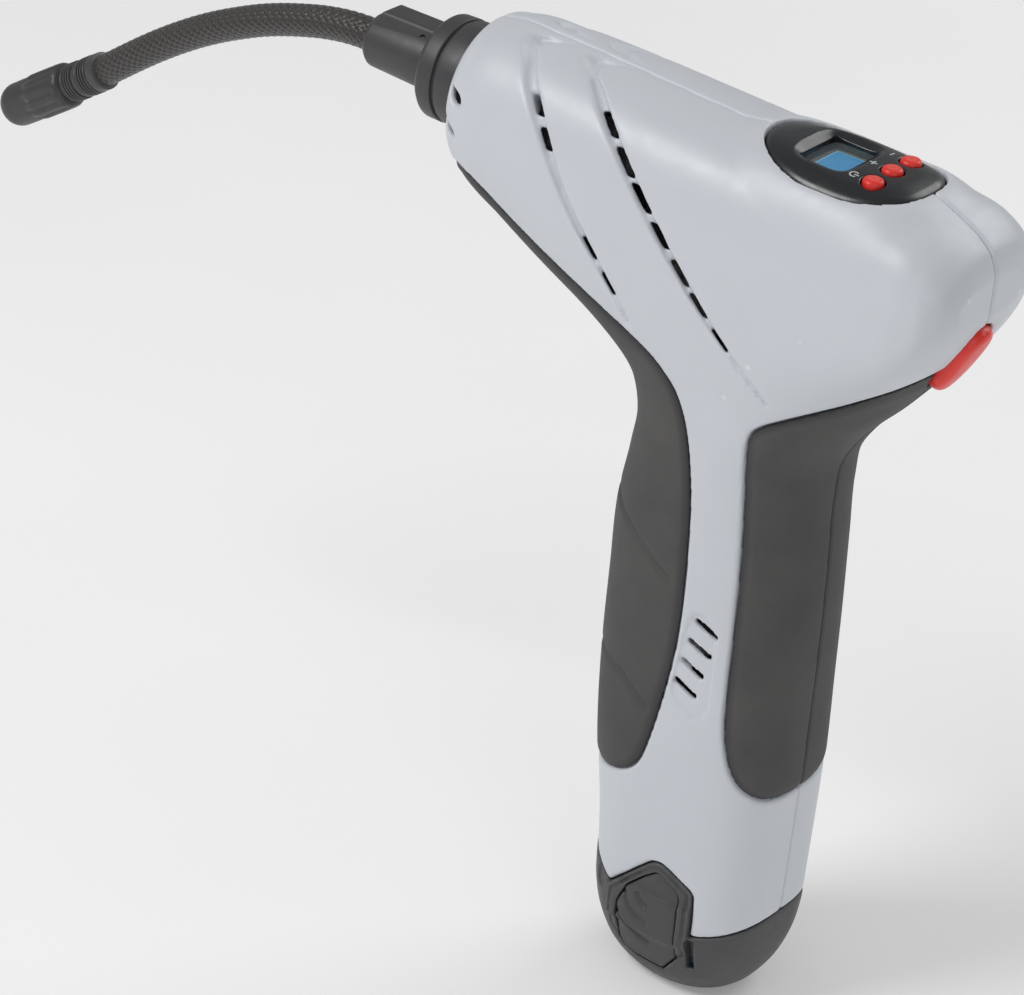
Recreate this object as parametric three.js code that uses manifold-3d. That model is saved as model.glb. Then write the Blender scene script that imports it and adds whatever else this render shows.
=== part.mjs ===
// Portable cordless tire inflator: pistol body with a clip-in battery foot, a vertical motor
// in the handle, a crank-driven piston pump in the head and a short braided hose.
// Millimetres. +Z up, nose and hose towards -X, tail and trigger towards +X, left side -Y.
// The origin is on the flat foot that the inflator stands on. Heights in the outlines below are
// measured from a plane FOOT_DEPTH above that flat, and the whole object is lifted by it.

import * as THREE from 'three';
import { LoftGeometry } from 'three/addons/geometries/LoftGeometry.js';
import { mergeVertices } from 'three/addons/utils/BufferGeometryUtils.js';
import Module from 'manifold-3d';

const wasm = await Module();
wasm.setup();

// ---- driving dimensions ---------------------------------------------------------------

const GAP = 0.3; // clearance between pieces that touch
const WALL = 2.5; // housing wall
const GRIP = 1.3; // rubber over-mould
const SEAM = 0.15; // half of the parting gap between left and right shells
const REACH = 40; // further than the body's half width
const FOOT_DEPTH = 2.5; // how far the rounded foot reaches below the measuring plane

const BODY_SIDES = 24;
const CAVITY_SIDES = 18;
const NOSE_Z = 212; // height of the nose, collar and hose exit
const COLLAR_R = 13.5;
const COLLAR_FRONT_X = -106.6;
const CONNECTOR_R = 7.5;
const CONNECTOR_FRONT_X = -128;
const HOSE_D = 8.5;

const BATTERY_X = -2.5; // centre of the battery pack
const PARTING = { lowest: 18.8, x: 3, bow: 0.0135 }; // line between foot and housing, a parabola
const FOOT_TOP_Z = 20; // floor of the socket in the foot that carries the tower
const TOWER = { halfX: 19.1, halfY: 18, wall: 0.8, top: 75, power: 4.8 };
const CELL = { radius: 9, length: 65, pitch: 18.1, bottom: 6.5 };

const MOTOR = { x: -3, radius: 18, bottom: 120, top: 172 };
const GEAR = { module: 1, pinionTeeth: 9, crankTeeth: 28, bottom: 178, thick: 6 };
const GEAR_DISTANCE = (GEAR.module * (GEAR.pinionTeeth + GEAR.crankTeeth)) / 2;
const CRANK_X = MOTOR.x - GEAR_DISTANCE;
const CRANK_R = 7; // half the piston stroke
const PUMP_Z = 203; // height of the cylinder axis
const WRIST_X = -62;
const BORE_R = 9;
const CYLINDER = { radius: 12.5, finRoot: 10.8, rear: -45, front: -69 };

const PANEL = { x: 10.8, halfX: 22.8, halfY: 15.8, power: 2.3, proud: 1.4 };
const WINDOW = { x: 7.4, halfX: 6.2, halfY: 8 };
const BUTTON = { x: 22, pitch: 8, radius: 2.6 };
const BOARD = { x: 12, halfX: 25, halfY: 16, bottom: 213, thick: 1.6 };

const TRIGGER = { x: 43.9, z: 192.9, tilt: 28, length: 21, width: 12 };
const LATCH = { front: -16.2, rear: 9.2, apexX: -1.4, apex: 36.8, shoulders: [23.8, 31.8], foot: 6 };

// Handle outline by height: front and rear edges in side view, half width, squareness
const HANDLE = [
  { at: 10, low: -26.3, high: 22.6, half: 21.7, power: 2.9 },
  { at: 40, low: -28.5, high: 22.9, half: 22.3, power: 2.9 },
  { at: 64, low: -32, high: 22.9, half: 23.4, power: 2.8 },
  { at: 86, low: -34.1, high: 22.4, half: 23.8, power: 2.6 },
  { at: 108, low: -35, high: 21.8, half: 24, power: 2.45 },
  { at: 127, low: -35.4, high: 20.8, half: 24, power: 2.4 },
  { at: 143, low: -33.4, high: 19.8, half: 23.8, power: 2.4 },
  { at: 153, low: -32.8, high: 20.6, half: 23.8, power: 2.4 },
  { at: 162, low: -35.6, high: 25.4, half: 24, power: 2.5 },
  { at: 172, low: -44, high: 33.4, half: 24.2, power: 2.5 },
  { at: 190, low: -60, high: 43, half: 24, power: 2.6 },
];

// Head outline along X: underside and crown in side view, half width, squareness
const HEAD = [
  { at: -93.5, low: 194.5, high: 226.5, half: 16, power: 2 },
  { at: -91.5, low: 191.2, high: 229.6, half: 18.8, power: 2.05 },
  { at: -87, low: 188.4, high: 231.2, half: 20.8, power: 2.15 },
  { at: -74, low: 182.8, high: 231.6, half: 22.8, power: 2.4 },
  { at: -56, low: 174.8, high: 230.9, half: 24.2, power: 2.7 },
  { at: -34, low: 166.2, high: 229.8, half: 25.2, power: 2.9 },
  { at: -6, low: 163, high: 228.6, half: 25.6, power: 3 },
  { at: 16, low: 166.8, high: 228, half: 25.6, power: 3 },
  { at: 34, low: 177, high: 226.8, half: 25.1, power: 3 },
  { at: 44, low: 186.4, high: 224.2, half: 24, power: 2.9 },
  { at: 49.5, low: 194, high: 219.5, half: 21.2, power: 2.6 },
  { at: 52, low: 200.5, high: 214, half: 16, power: 2.4 },
];

// Side-view outlines (x, z) of the rubber grips; they run past the body where it ends them
const FRONT_GRIP = [
  [-88, 199.5], [-70.4, 191.8], [-51.3, 184], [-38.9, 179.8], [-26.5, 175.6], [-19.5, 172.2],
  [-13.4, 166.4], [-9.1, 158.1], [-5.8, 143.2], [-4.5, 130], [-3.6, 113.7], [-3.9, 99.4],
  [-6.1, 82.6], [-9.2, 67], [-12, 61], [-17, 57.5], [-25, 55], [-60, 52], [-60, 120],
  [-110, 150], [-110, 190],
];
const REAR_GRIP = [
  [7, 162.5], [9.5, 165.8], [18.8, 171.6], [31.5, 179.4], [43.8, 187.9], [49.8, 192.3],
  [70, 205], [70, 60.5], [24, 60.5], [19.5, 62], [15, 66.5], [12.2, 73.5], [10.6, 82],
  [10.1, 91.4], [9.6, 108.2], [8.9, 124.7], [7.7, 140.6], [6.6, 153.7],
];

// Housing screws: side-view places (x, z)
const SCREWS = [[-66, 222.4], [43.5, 213.5], [-58, 183.4], [-26.5, 138], [-4, 97], [24, 181]];

// Centre line of the free hose (x, z), drooping from the connector to the chuck
const HOSE_ROUTE = [
  [-128.3, 212], [-132.5, 212], [-138.4, 211.5], [-145.5, 210.2], [-152.6, 208.3],
  [-159, 206.3], [-165.4, 203.9], [-171.7, 201.1], [-178.3, 197.9], [-184.7, 194.4],
  [-191.1, 190.5], [-197, 186.6], [-202.5, 182.7], [-208, 178.6], [-212.2, 175.4],
  [-216, 172.6],
];
const CHUCK_DROP = 34.3; // degrees that the chuck points below the horizontal

// ---- colours --------------------------------------------------------------------------

const finish = (color, roughness, metalness = 0) =>
  new THREE.MeshStandardMaterial({ color, roughness, metalness });
const GREY_SHELL = finish(0xc8ccd1, 0.45);
const RUBBER = finish(0x4a4a48, 0.8);
const BLACK_PLASTIC = finish(0x3c3c3e, 0.5);
const GLOSS_PANEL = finish(0x26292b, 0.15);
const RED = finish(0xe84030, 0.4);
const BRAID = finish(0x3a3634, 0.7);
const LENS = finish(0x0077a8, 0.1);
const BOARD_GREEN = finish(0x1f6b3a, 0.5);
const STEEL = finish(0xb8bcc0, 0.35, 0.9);
const ALUMINIUM = finish(0xc9ccce, 0.4, 0.9);
const BRASS = finish(0xc9a24a, 0.35, 0.9);
const COPPER = finish(0xa85c32, 0.4, 0.8);
const WHITE_PLASTIC = finish(0xe4e2da, 0.5);
const CELL_WRAP = finish(0x2f6fb0, 0.4);

// ---- solid modelling helpers ----------------------------------------------------------

// A closed mesh as a manifold solid, turned right side out
function solid(geometry) {
  const bare = new THREE.BufferGeometry();
  bare.setAttribute('position', geometry.getAttribute('position'));
  bare.setIndex(geometry.getIndex());
  const merged = mergeVertices(bare, 1e-4);
  const place = merged.attributes.position;
  const corner = (i) => new THREE.Vector3().fromBufferAttribute(place, i);
  const faces = [];
  let volume = 0;
  for (let i = 0; i < merged.index.count; i += 3) {
    const [a, b, c] = [0, 1, 2].map((k) => merged.index.getX(i + k));
    if (a === b || b === c || c === a) continue;
    faces.push([a, b, c]);
    volume += corner(a).dot(corner(b).cross(corner(c)));
  }
  const triVerts = new Uint32Array(faces.flatMap((f) => (volume < 0 ? f.reverse() : f)));
  const vertProperties = Float32Array.from(place.array);
  return new wasm.Manifold(new wasm.Mesh({ numProp: 3, vertProperties, triVerts }));
}

function geometryOf(body) {
  const mesh = body.getMesh();
  const geometry = new THREE.BufferGeometry();
  geometry.setAttribute('position', new THREE.BufferAttribute(mesh.vertProperties, 3));
  geometry.setIndex(new THREE.BufferAttribute(mesh.triVerts, 1));
  geometry.computeVertexNormals();
  return geometry;
}

const join = (first, ...others) => others.reduce((sum, next) => sum.add(next), first);
const cut = (first, ...others) => others.reduce((rest, next) => rest.subtract(next), first);
const common = (first, ...others) => others.reduce((rest, next) => rest.intersect(next), first);

const block = (x0, x1, y0, y1, z0, z1) =>
  solid(
    new THREE.BoxGeometry(x1 - x0, y1 - y0, z1 - z0)
      .translate((x0 + x1) / 2, (y0 + y1) / 2, (z0 + z1) / 2),
  );

// Outline in side view (x, z), extruded from y0 to y1
function prismY(outline, y0, y1) {
  const shape = new THREE.Shape(outline.map(([x, z]) => new THREE.Vector2(x, z)));
  const geometry = new THREE.ExtrudeGeometry(shape, { depth: y1 - y0, bevelEnabled: false });
  return solid(geometry.rotateX(Math.PI / 2).translate(0, y1, 0));
}

// Outline in plan view (x, y), extruded from z0 to z1
function prismZ(outline, z0, z1) {
  const shape = new THREE.Shape(outline.map(([x, y]) => new THREE.Vector2(x, y)));
  const geometry = new THREE.ExtrudeGeometry(shape, { depth: z1 - z0, bevelEnabled: false });
  return solid(geometry.translate(0, 0, z0));
}

// Profile of [distance along the axis, radius] turned about an axis through a point
const AXES = {
  x: new THREE.Vector3(1, 0, 0),
  y: new THREE.Vector3(0, 1, 0),
  z: new THREE.Vector3(0, 0, 1),
};
function turned(profile, axis, centre = [0, 0, 0], sides = 24) {
  const points = profile.map(([along, radius]) => new THREE.Vector2(radius, along));
  const geometry = new THREE.LatheGeometry(points, sides);
  const turn = new THREE.Quaternion().setFromUnitVectors(AXES.y, AXES[axis]);
  return solid(geometry.applyQuaternion(turn).translate(...centre));
}
const rod = (from, to, radius, axis, centre, sides = 24) =>
  turned([[from, 0], [from, radius], [to, radius], [to, 0]], axis, centre, sides);
const ring = (from, to, inner, outer, axis, centre, sides = 24) =>
  turned([[from, inner], [from, outer], [to, outer], [to, inner], [from, inner]],
    axis, centre, sides);

const superEllipse = (halfU, halfV, power, sides) =>
  Array.from({ length: sides }, (_, i) => {
    const angle = (2 * Math.PI * (i + 0.5)) / sides;
    const swell = (value) => Math.sign(value) * Math.abs(value) ** (2 / power);
    return [halfU * swell(Math.cos(angle)), halfV * swell(Math.sin(angle))];
  });

// An outline moved outwards by a distance, corner by corner
function grown(outline, distance) {
  const clockwise = THREE.ShapeUtils.isClockWise(
    outline.map(([u, v]) => new THREE.Vector2(u, v)),
  );
  const side = clockwise ? 1 : -1;
  return outline.map((point, i) => {
    const before = outline[(i + outline.length - 1) % outline.length];
    const after = outline[(i + 1) % outline.length];
    const normals = [[before, point], [point, after]].map(([p, q]) => {
      const length = Math.hypot(q[0] - p[0], q[1] - p[1]);
      return [(-side * (q[1] - p[1])) / length, (side * (q[0] - p[0])) / length];
    });
    const sum = [normals[0][0] + normals[1][0], normals[0][1] + normals[1][1]];
    const scale = (2 * distance) / (sum[0] ** 2 + sum[1] ** 2);
    return [point[0] + sum[0] * scale, point[1] + sum[1] * scale];
  });
}

// The stations of a loft between two places, each outline set inwards
function insetStations(stations, inset, from, to) {
  const at = (place) => {
    const next = Math.min(Math.max(stations.findIndex((s) => s.at >= place), 1),
      stations.length - 1);
    const [a, b] = [stations[next - 1], stations[next]];
    const mix = (key) => THREE.MathUtils.mapLinear(place, a.at, b.at, a[key], b[key]);
    return {
      at: place,
      low: mix('low'),
      high: mix('high'),
      half: mix('half'),
      power: mix('power'),
    };
  };
  const inner = stations.map((s) => s.at).filter((p) => p > from + 0.5 && p < to - 0.5);
  return [from, ...inner, to].map(at).map((s) => ({
    ...s, low: s.low + inset, high: s.high - inset, half: s.half - inset,
  }));
}

function loft(stations, place, sides = BODY_SIDES) {
  const sections = stations.map((s) =>
    superEllipse((s.high - s.low) / 2, s.half, s.power, sides)
      .map(([u, v]) => place(s.at, (s.low + s.high) / 2 + u, v)));
  return solid(new LoftGeometry(sections, { closed: true, capStart: true, capEnd: true }));
}

// The whole pistol body, shrunk by an inset (a negative inset grows it)
const alongX = (x, z, y) => new THREE.Vector3(x, -y, z);
const alongZ = (z, x, y) => new THREE.Vector3(x, y, z);
function pistol(inset, bottom = HANDLE[0].at, sides = BODY_SIDES) {
  const headEnds = [HEAD[0].at + inset, HEAD.at(-1).at - inset];
  const handleEnds = [bottom, HANDLE.at(-1).at];
  return join(
    loft(insetStations(HEAD, inset, ...headEnds), alongX, sides),
    loft(insetStations(HANDLE, inset, ...handleEnds), alongZ, sides),
  );
}

const object = new THREE.Group();
function add(name, body, material, parent = object) {
  const mesh = new THREE.Mesh(geometryOf(body), material);
  mesh.name = name;
  parent.add(mesh);
  return mesh;
}

function group(x, y, z, parent = object) {
  const holder = new THREE.Group();
  holder.position.set(x, y, z);
  parent.add(holder);
  return holder;
}

// ---- shared outlines and cutters -------------------------------------------------------

const SIDES = [['left', -1], ['right', 1]];
const halfSpace = (side, inner = SEAM) =>
  (side < 0 ? block(-150, 80, -REACH, -inner, -20, 250) : block(-150, 80, inner, REACH, -20, 250));
const sidePrism = (outline, side, inner = 0) =>
  (side < 0 ? prismY(outline, -REACH, -inner) : prismY(outline, inner, REACH));

const outerBody = pistol(0);
const underGrip = pistol(GRIP + GAP);
const grounds = pistol(GRIP);
const cavity = pistol(WALL, 5, CAVITY_SIDES);

const latchOutline = (margin) =>
  grown([
    [LATCH.front, LATCH.foot], [LATCH.rear, LATCH.foot], [LATCH.rear, LATCH.shoulders[1]],
    [LATCH.apexX + 1.6, LATCH.apex], [LATCH.apexX - 1.6, LATCH.apex],
    [LATCH.front, LATCH.shoulders[0]],
  ], margin);

const panelOutline = (margin) =>
  superEllipse(PANEL.halfX + margin, PANEL.halfY + margin, PANEL.power, 20)
    .map(([x, y]) => [x + PANEL.x, y]);

const capsule = (halfLength, radius) =>
  Array.from({ length: 20 }, (_, i) => {
    const angle = (Math.PI * (i % 10)) / 9 + (i < 10 ? 0 : Math.PI);
    const end = (i < 10 ? 1 : -1) * (halfLength - radius);
    return [radius * Math.cos(angle), end + radius * Math.sin(angle)];
  });

// A prism along the trigger's press direction; its outline is (across, along the trigger)
const pressAngle = THREE.MathUtils.degToRad(TRIGGER.tilt);
function triggerPrism(outline, from, to, offset = 0) {
  const shape = new THREE.Shape(outline.map(([u, v]) => new THREE.Vector2(u, v + offset)));
  const geometry = new THREE.ExtrudeGeometry(shape, { depth: to - from, bevelEnabled: false });
  geometry.translate(0, 0, from);
  const outwards = new THREE.Vector3(Math.cos(pressAngle), 0, -Math.sin(pressAngle));
  const upwards = new THREE.Vector3(Math.sin(pressAngle), 0, Math.cos(pressAngle));
  geometry.applyMatrix4(new THREE.Matrix4().makeBasis(AXES.y, upwards, outwards));
  return solid(geometry.translate(TRIGGER.x, 0, TRIGGER.z));
}

// ---- housing and grips -----------------------------------------------------------------

// Cooling slots through the side walls, stepped along the two gill lines of the head
const GILL_SLOTS = [
  ...[0, 1].map((i) => [-65 + 5.3 * i, 222.1 - 6.6 * i, 51]),
  ...[0, 1].map((i) => [-42.7 + 6.7 * i, 194.2 - 6.9 * i, 46]),
  ...Array.from({ length: 7 }, (_, i) => [-45.9 + 7.15 * i, 224.9 - 6.5 * i, 42]),
];
const HANDLE_SLOTS = Array.from({ length: 4 }, (_, i) => [3.2 - 1.2 * i, 107.6 - 6.2 * i, 30]);
const LEAF_VENTS = [[-88.8, 215.6, 60], [-89.6, 206.8, 60]];

function sideSlot([x, z, degrees], halfLength, halfWidth) {
  const slot = new THREE.BoxGeometry(2 * halfLength, 2 * REACH, 2 * halfWidth);
  slot.rotateY(THREE.MathUtils.degToRad(degrees)).translate(x, 0, z);
  return solid(slot);
}

const slots = [
  ...GILL_SLOTS.map((place) => sideSlot(place, 3.4, 0.8)),
  ...HANDLE_SLOTS.map((place) => sideSlot(place, 2.4, 0.8)),
  ...LEAF_VENTS.map((place) => sideSlot(place, 2.2, 0.9)),
];
const slotCutter = cut(join(...slots), block(-150, 80, -16.4, 16.4, 90, 250));
const handleCore = block(-30, 30, -20, 20, 80, 112);

const nosePassage = rod(-110, -80, 10.7 + 2 * GAP, 'x', [0, 0, NOSE_Z], 18);
const triggerOpening = triggerPrism(capsule(TRIGGER.length / 2 + 0.4, TRIGGER.width / 2 + 0.4),
  -6, 12);
const panelOpening = prismZ(panelOutline(GAP), 216, 240);

// Everything under the parting line, a little lower or higher
function underParting(gap) {
  const line = Array.from({ length: 13 }, (_, i) => {
    const x = -36 + 6 * i;
    return [x, PARTING.lowest + PARTING.bow * (x - PARTING.x) ** 2 + gap];
  });
  return prismY([[-36, -20], ...line, [36, -20]], -REACH, REACH);
}
const footCut = underParting(GAP);

for (const [name, side] of SIDES) {
  const bossEnds = side < 0 ? [-REACH, -SEAM] : [SEAM, REACH];
  const boss = ([x, z]) => rod(...bossEnds, 4.4, 'y', [x, 0, z], 10);
  const bosses = common(join(...SCREWS.map(boss)), pistol(1.9), halfSpace(side));
  const screwHole = ([x, z]) =>
    (side < 0
      ? rod(-9, 1, 1.8, 'y', [x, 0, z], 8)
      : join(rod(-1, 9, 1.8, 'y', [x, 0, z], 8), rod(7.7, REACH, 3.2, 'y', [x, 0, z], 10)));
  const recess = (outline) => cut(sidePrism(grown(outline, GAP), side), underGrip);
  const shell = common(outerBody, halfSpace(side));
  const walls = cut(shell, cavity);
  add(`${name}_housing`, cut(
    join(walls, bosses),
    footCut, recess(FRONT_GRIP), recess(REAR_GRIP), cut(slotCutter, handleCore),
    nosePassage, triggerOpening, panelOpening, sidePrism(latchOutline(0.4), side),
    ...SCREWS.map(screwHole),
  ), GREY_SHELL);

  const skin = cut(common(outerBody, halfSpace(side)), grounds);
  add(`front_grip_${name}`, cut(common(skin, sidePrism(FRONT_GRIP, side)), nosePassage), RUBBER);
  add(`rear_grip_${name}`, cut(common(skin, sidePrism(REAR_GRIP, side)), triggerOpening), RUBBER);
}

// Six self-tapping screws, driven from the right side
SCREWS.forEach(([x, z], i) => {
  add(`housing_screw_${i + 1}`, turned(
    [[-8, 0], [-8, 0.4], [-6.5, 1.35], [8, 1.35], [8, 2.7], [9, 2.7], [10, 1.8], [10, 0]],
    'y', [x, 0, z], 8,
  ), STEEL);
});

// ---- nose, hose and chuck --------------------------------------------------------------

add('nose_collar', turned([
  [COLLAR_FRONT_X, 6.4], [COLLAR_FRONT_X, COLLAR_R - 1.6], [COLLAR_FRONT_X + 1.2, COLLAR_R],
  [-101, COLLAR_R], [-100.4, COLLAR_R - 0.7], [-99.8, COLLAR_R], [-93.9, COLLAR_R],
  [-93.9, 10.7], [-90.4, 10.7], [-90.4, 13.4], [-88.8, 13.4], [-88.8, 2.6], [-95, 2.6],
  [-95, 6.4], [COLLAR_FRONT_X, 6.4],
], 'x', [0, 0, NOSE_Z], 18), BLACK_PLASTIC);

const connectorBody = turned([
  [CONNECTOR_FRONT_X, 2], [CONNECTOR_FRONT_X, CONNECTOR_R - 1],
  [CONNECTOR_FRONT_X + 1, CONNECTOR_R], [COLLAR_FRONT_X - GAP, CONNECTOR_R],
  [COLLAR_FRONT_X - GAP, 6.1], [-95.4, 6.1], [-95.4, 2], [CONNECTOR_FRONT_X, 2],
], 'x', [0, 0, NOSE_Z], 20);
const connectorLug = block(CONNECTOR_FRONT_X + 2.6, COLLAR_FRONT_X - GAP, -3, 3,
  NOSE_Z + 4, NOSE_Z + 9.3);
add('hose_connector', join(connectorBody, connectorLug), BLACK_PLASTIC);

class Route extends THREE.Curve {
  constructor(points) {
    super();
    this.line = new THREE.CatmullRomCurve3(points.map(([x, z]) => new THREE.Vector3(x, 0, z)));
  }

  getPoint(t, target = new THREE.Vector3()) {
    return this.line.getPointAt(t, target);
  }
}

function tube(points, radius, sides, steps) {
  const outline = superEllipse(radius, radius, 2, sides).map(([u, v]) => new THREE.Vector2(u, v));
  return solid(new THREE.ExtrudeGeometry(new THREE.Shape(outline), {
    extrudePath: new Route(points), steps,
  }));
}
add('hose', tube(HOSE_ROUTE, HOSE_D / 2, 10, 10), BRAID);

// The chuck's pieces are turned about its own axis, which leaves the end of the hose
const chuck = group(HOSE_ROUTE.at(-1)[0], 0, HOSE_ROUTE.at(-1)[1]);
chuck.rotation.y = THREE.MathUtils.degToRad(-CHUCK_DROP);
const RELIEF_END = -13;
const SLEEVE_END = -37;
const ribs = Array.from({ length: 5 }, (_, i) => [
  [-1.6 - 2.1 * i, 5.3], [-2.4 - 2.1 * i, 4.7], [-3.2 - 2.1 * i, 5.3],
]).flat();
add('bend_relief', turned([
  [-GAP, 0], [-GAP, 5.3], ...ribs, [RELIEF_END, 5.3], [RELIEF_END, 0],
], 'x', [0, 0, 0], 12), BLACK_PLASTIC, chuck);
add('chuck_sleeve', turned([
  [RELIEF_END - GAP, 0], [RELIEF_END - GAP, 5.4], [-15, 6.3], [-27, 6.3], [-28.5, 5.9],
  [SLEEVE_END + 1, 5.9], [SLEEVE_END, 5.7], [SLEEVE_END, 4.8], [SLEEVE_END + 17, 4.8],
  [SLEEVE_END + 17, 0],
], 'x', [0, 0, 0], 20), BLACK_PLASTIC, chuck);
add('chuck_insert', ring(SLEEVE_END + 0.4, SLEEVE_END + 14, 3.95, 4.5, 'x', [0, 0, 0], 20),
  BRASS, chuck);
add('chuck_seal', ring(SLEEVE_END + 14.3, SLEEVE_END + 16.7, 1.2, 4.5, 'x', [0, 0, 0], 20),
  RUBBER, chuck);

// ---- control panel ---------------------------------------------------------------------

const controls = group(0, 0, 0);
const windowOutline = (margin) =>
  superEllipse(WINDOW.halfX + margin, WINDOW.halfY + margin, 8, 24)
    .map(([x, y]) => [x + WINDOW.x, y]);
const buttonPlaces = [['power', -1], ['plus', 0], ['minus', 1]]
  .map(([name, step]) => [name, BUTTON.x, step * BUTTON.pitch]);
const panelSkin = cut(pistol(-PANEL.proud), pistol(1.6));
add('control_panel', cut(
  common(panelSkin, prismZ(panelOutline(0), 222, 240)),
  prismZ(windowOutline(0), 215, 240),
  ...buttonPlaces.map(([, x, y]) => rod(210, 240, BUTTON.radius + 1.5 * GAP, 'z', [x, y, 0], 12)),
), GLOSS_PANEL, controls);
add('display_window', prismZ(windowOutline(-GAP), 226.4, 227.4), LENS, controls);
add('display_module', prismZ(windowOutline(-0.8), 218, 226), LENS, controls);

add('control_board', prismZ(
  superEllipse(BOARD.halfX, BOARD.halfY, 6, 24).map(([x, y]) => [x + BOARD.x, y]),
  BOARD.bottom, BOARD.bottom + BOARD.thick,
), BOARD_GREEN, controls);
add('pressure_sensor', block(-10, -2, -4, 4, BOARD.bottom + BOARD.thick + GAP, 219),
  BLACK_PLASTIC, controls);

const SWITCH_TOP = 219;
for (const [name, x, y] of buttonPlaces) {
  const top = 230.8 - 0.014 * y * y;
  add(`${name}_button`, turned([
    [SWITCH_TOP + 1.2, 0], [SWITCH_TOP + 1.2, 1.4], [223.5, 1.4], [223.5, 3.6], [224.6, 3.6],
    [224.6, BUTTON.radius], [top - 0.5, BUTTON.radius], [top, BUTTON.radius - 0.7], [top, 0],
  ], 'z', [x, y, 0], 12), RED, controls);
  add(`${name}_switch`, join(
    block(x - 3, x + 3, y - 3, y + 3, BOARD.bottom + BOARD.thick + GAP, SWITCH_TOP - 1.6),
    rod(SWITCH_TOP - 2, SWITCH_TOP, 1.5, 'z', [x, y, 0], 12),
  ), BLACK_PLASTIC, controls);
}

// ---- trigger ---------------------------------------------------------------------------

const triggerCap = capsule(TRIGGER.length / 2, TRIGGER.width / 2);
add('trigger_button', join(
  triggerPrism(triggerCap, -4.5, 3.2),
  triggerPrism(capsule(TRIGGER.length / 2 - 1, TRIGGER.width / 2 - 1), 3, 4),
  triggerPrism(capsule(3, 2.4), -8, -4),
), RED);
add('trigger_switch', join(
  triggerPrism([[-3.2, -9], [3.2, -9], [3.2, 9], [-3.2, 9]], -22, -12.6),
  triggerPrism(capsule(1.6, 1.2), -13, -11.6),
), BLACK_PLASTIC);

// ---- motor and gears -------------------------------------------------------------------

const motor = group(MOTOR.x, 0, 0);
add('motor_can', turned([
  [MOTOR.bottom, MOTOR.radius - 1.2], [MOTOR.bottom, MOTOR.radius],
  [MOTOR.top - 1.5, MOTOR.radius], [MOTOR.top, MOTOR.radius - 1.5], [MOTOR.top, 3.2],
  [MOTOR.top - 1.5, 3.2], [MOTOR.top - 1.5, MOTOR.radius - 1.2],
  [MOTOR.bottom, MOTOR.radius - 1.2],
], 'z', [0, 0, 0], 20), STEEL, motor);
add('motor_endbell', turned([
  [MOTOR.bottom - 7, 0], [MOTOR.bottom - 7, 8], [MOTOR.bottom - 4, 12],
  [MOTOR.bottom - 3, MOTOR.radius - 0.5], [MOTOR.bottom - GAP, MOTOR.radius - 0.5],
  [MOTOR.bottom - GAP, MOTOR.radius - 1.5], [MOTOR.bottom + 2, MOTOR.radius - 1.5],
  [MOTOR.bottom + 2, 4], [MOTOR.bottom - 2, 4], [MOTOR.bottom - 2, 0],
], 'z', [0, 0, 0], 20), BLACK_PLASTIC, motor);
add('motor_armature', ring(MOTOR.bottom + 7, MOTOR.top - 8, 1.9, 12.5, 'z', [0, 0, 0], 20),
  COPPER, motor);
const pinionTop = GEAR.bottom + GEAR.thick + 1;
add('motor_shaft', rod(MOTOR.bottom - 1.5, pinionTop + 1.5, 1.6, 'z', [0, 0, 0], 16),
  STEEL, motor);

// Spur gear outline: tapered teeth, one starting at the given angle
function gearOutline(teeth, startAngle) {
  const pitchR = (GEAR.module * teeth) / 2;
  const tooth = (2 * Math.PI) / teeth;
  const corners = [[-0.3, -1.15], [-0.12, 0.85], [0.12, 0.85], [0.3, -1.15]];
  return Array.from({ length: teeth }, (_, i) => corners.map(([turn, depth]) => {
    const angle = startAngle + (i + turn) * tooth;
    const radius = pitchR + depth * GEAR.module;
    return [radius * Math.cos(angle), radius * Math.sin(angle)];
  })).flat();
}
const pinionShape = prismZ(gearOutline(GEAR.pinionTeeth, Math.PI + Math.PI / GEAR.pinionTeeth),
  GEAR.bottom - 1, pinionTop);
add('pinion_gear', cut(pinionShape, rod(170, 190, 1.9, 'z', [0, 0, 0], 16)), STEEL, motor);

// ---- pump ------------------------------------------------------------------------------

const pump = group(CRANK_X, 0, 0);
add('crank_gear', cut(
  prismZ(gearOutline(GEAR.crankTeeth, 0), GEAR.bottom, GEAR.bottom + GEAR.thick),
  rod(170, 190, 2.3, 'z', [0, 0, 0], 16),
), WHITE_PLASTIC, pump);
add('crank_pin', rod(GEAR.bottom + GEAR.thick + GAP, PUMP_Z - 3.6, 2, 'z', [-CRANK_R, 0, 0], 16),
  STEEL, pump);
add('gear_axle', rod(172.6, GEAR.bottom + GEAR.thick + 1.5, 2, 'z', [0, 0, 0], 12), STEEL, pump);

const FRAME_TOP = 175.4;
const FRAME_FRONT = CYLINDER.rear + GAP;
const frameSide = [
  [15, 172.4], [15, FRAME_TOP], [-36, FRAME_TOP], [FRAME_FRONT + 2.7, 180.8],
  [FRAME_FRONT + 2.7, 217], [FRAME_FRONT, 217], [FRAME_FRONT, 180], [-35, 172.4],
];
add('pump_frame', cut(
  prismY(frameSide, -13, 13),
  rod(160, 190, 3.4, 'z', [MOTOR.x, 0, 0], 20),
  rod(160, 190, 2.3, 'z', [CRANK_X, 0, 0], 16),
  rod(-60, -30, BORE_R + 1, 'x', [0, 0, PUMP_Z], 28),
), ALUMINIUM);

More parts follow.
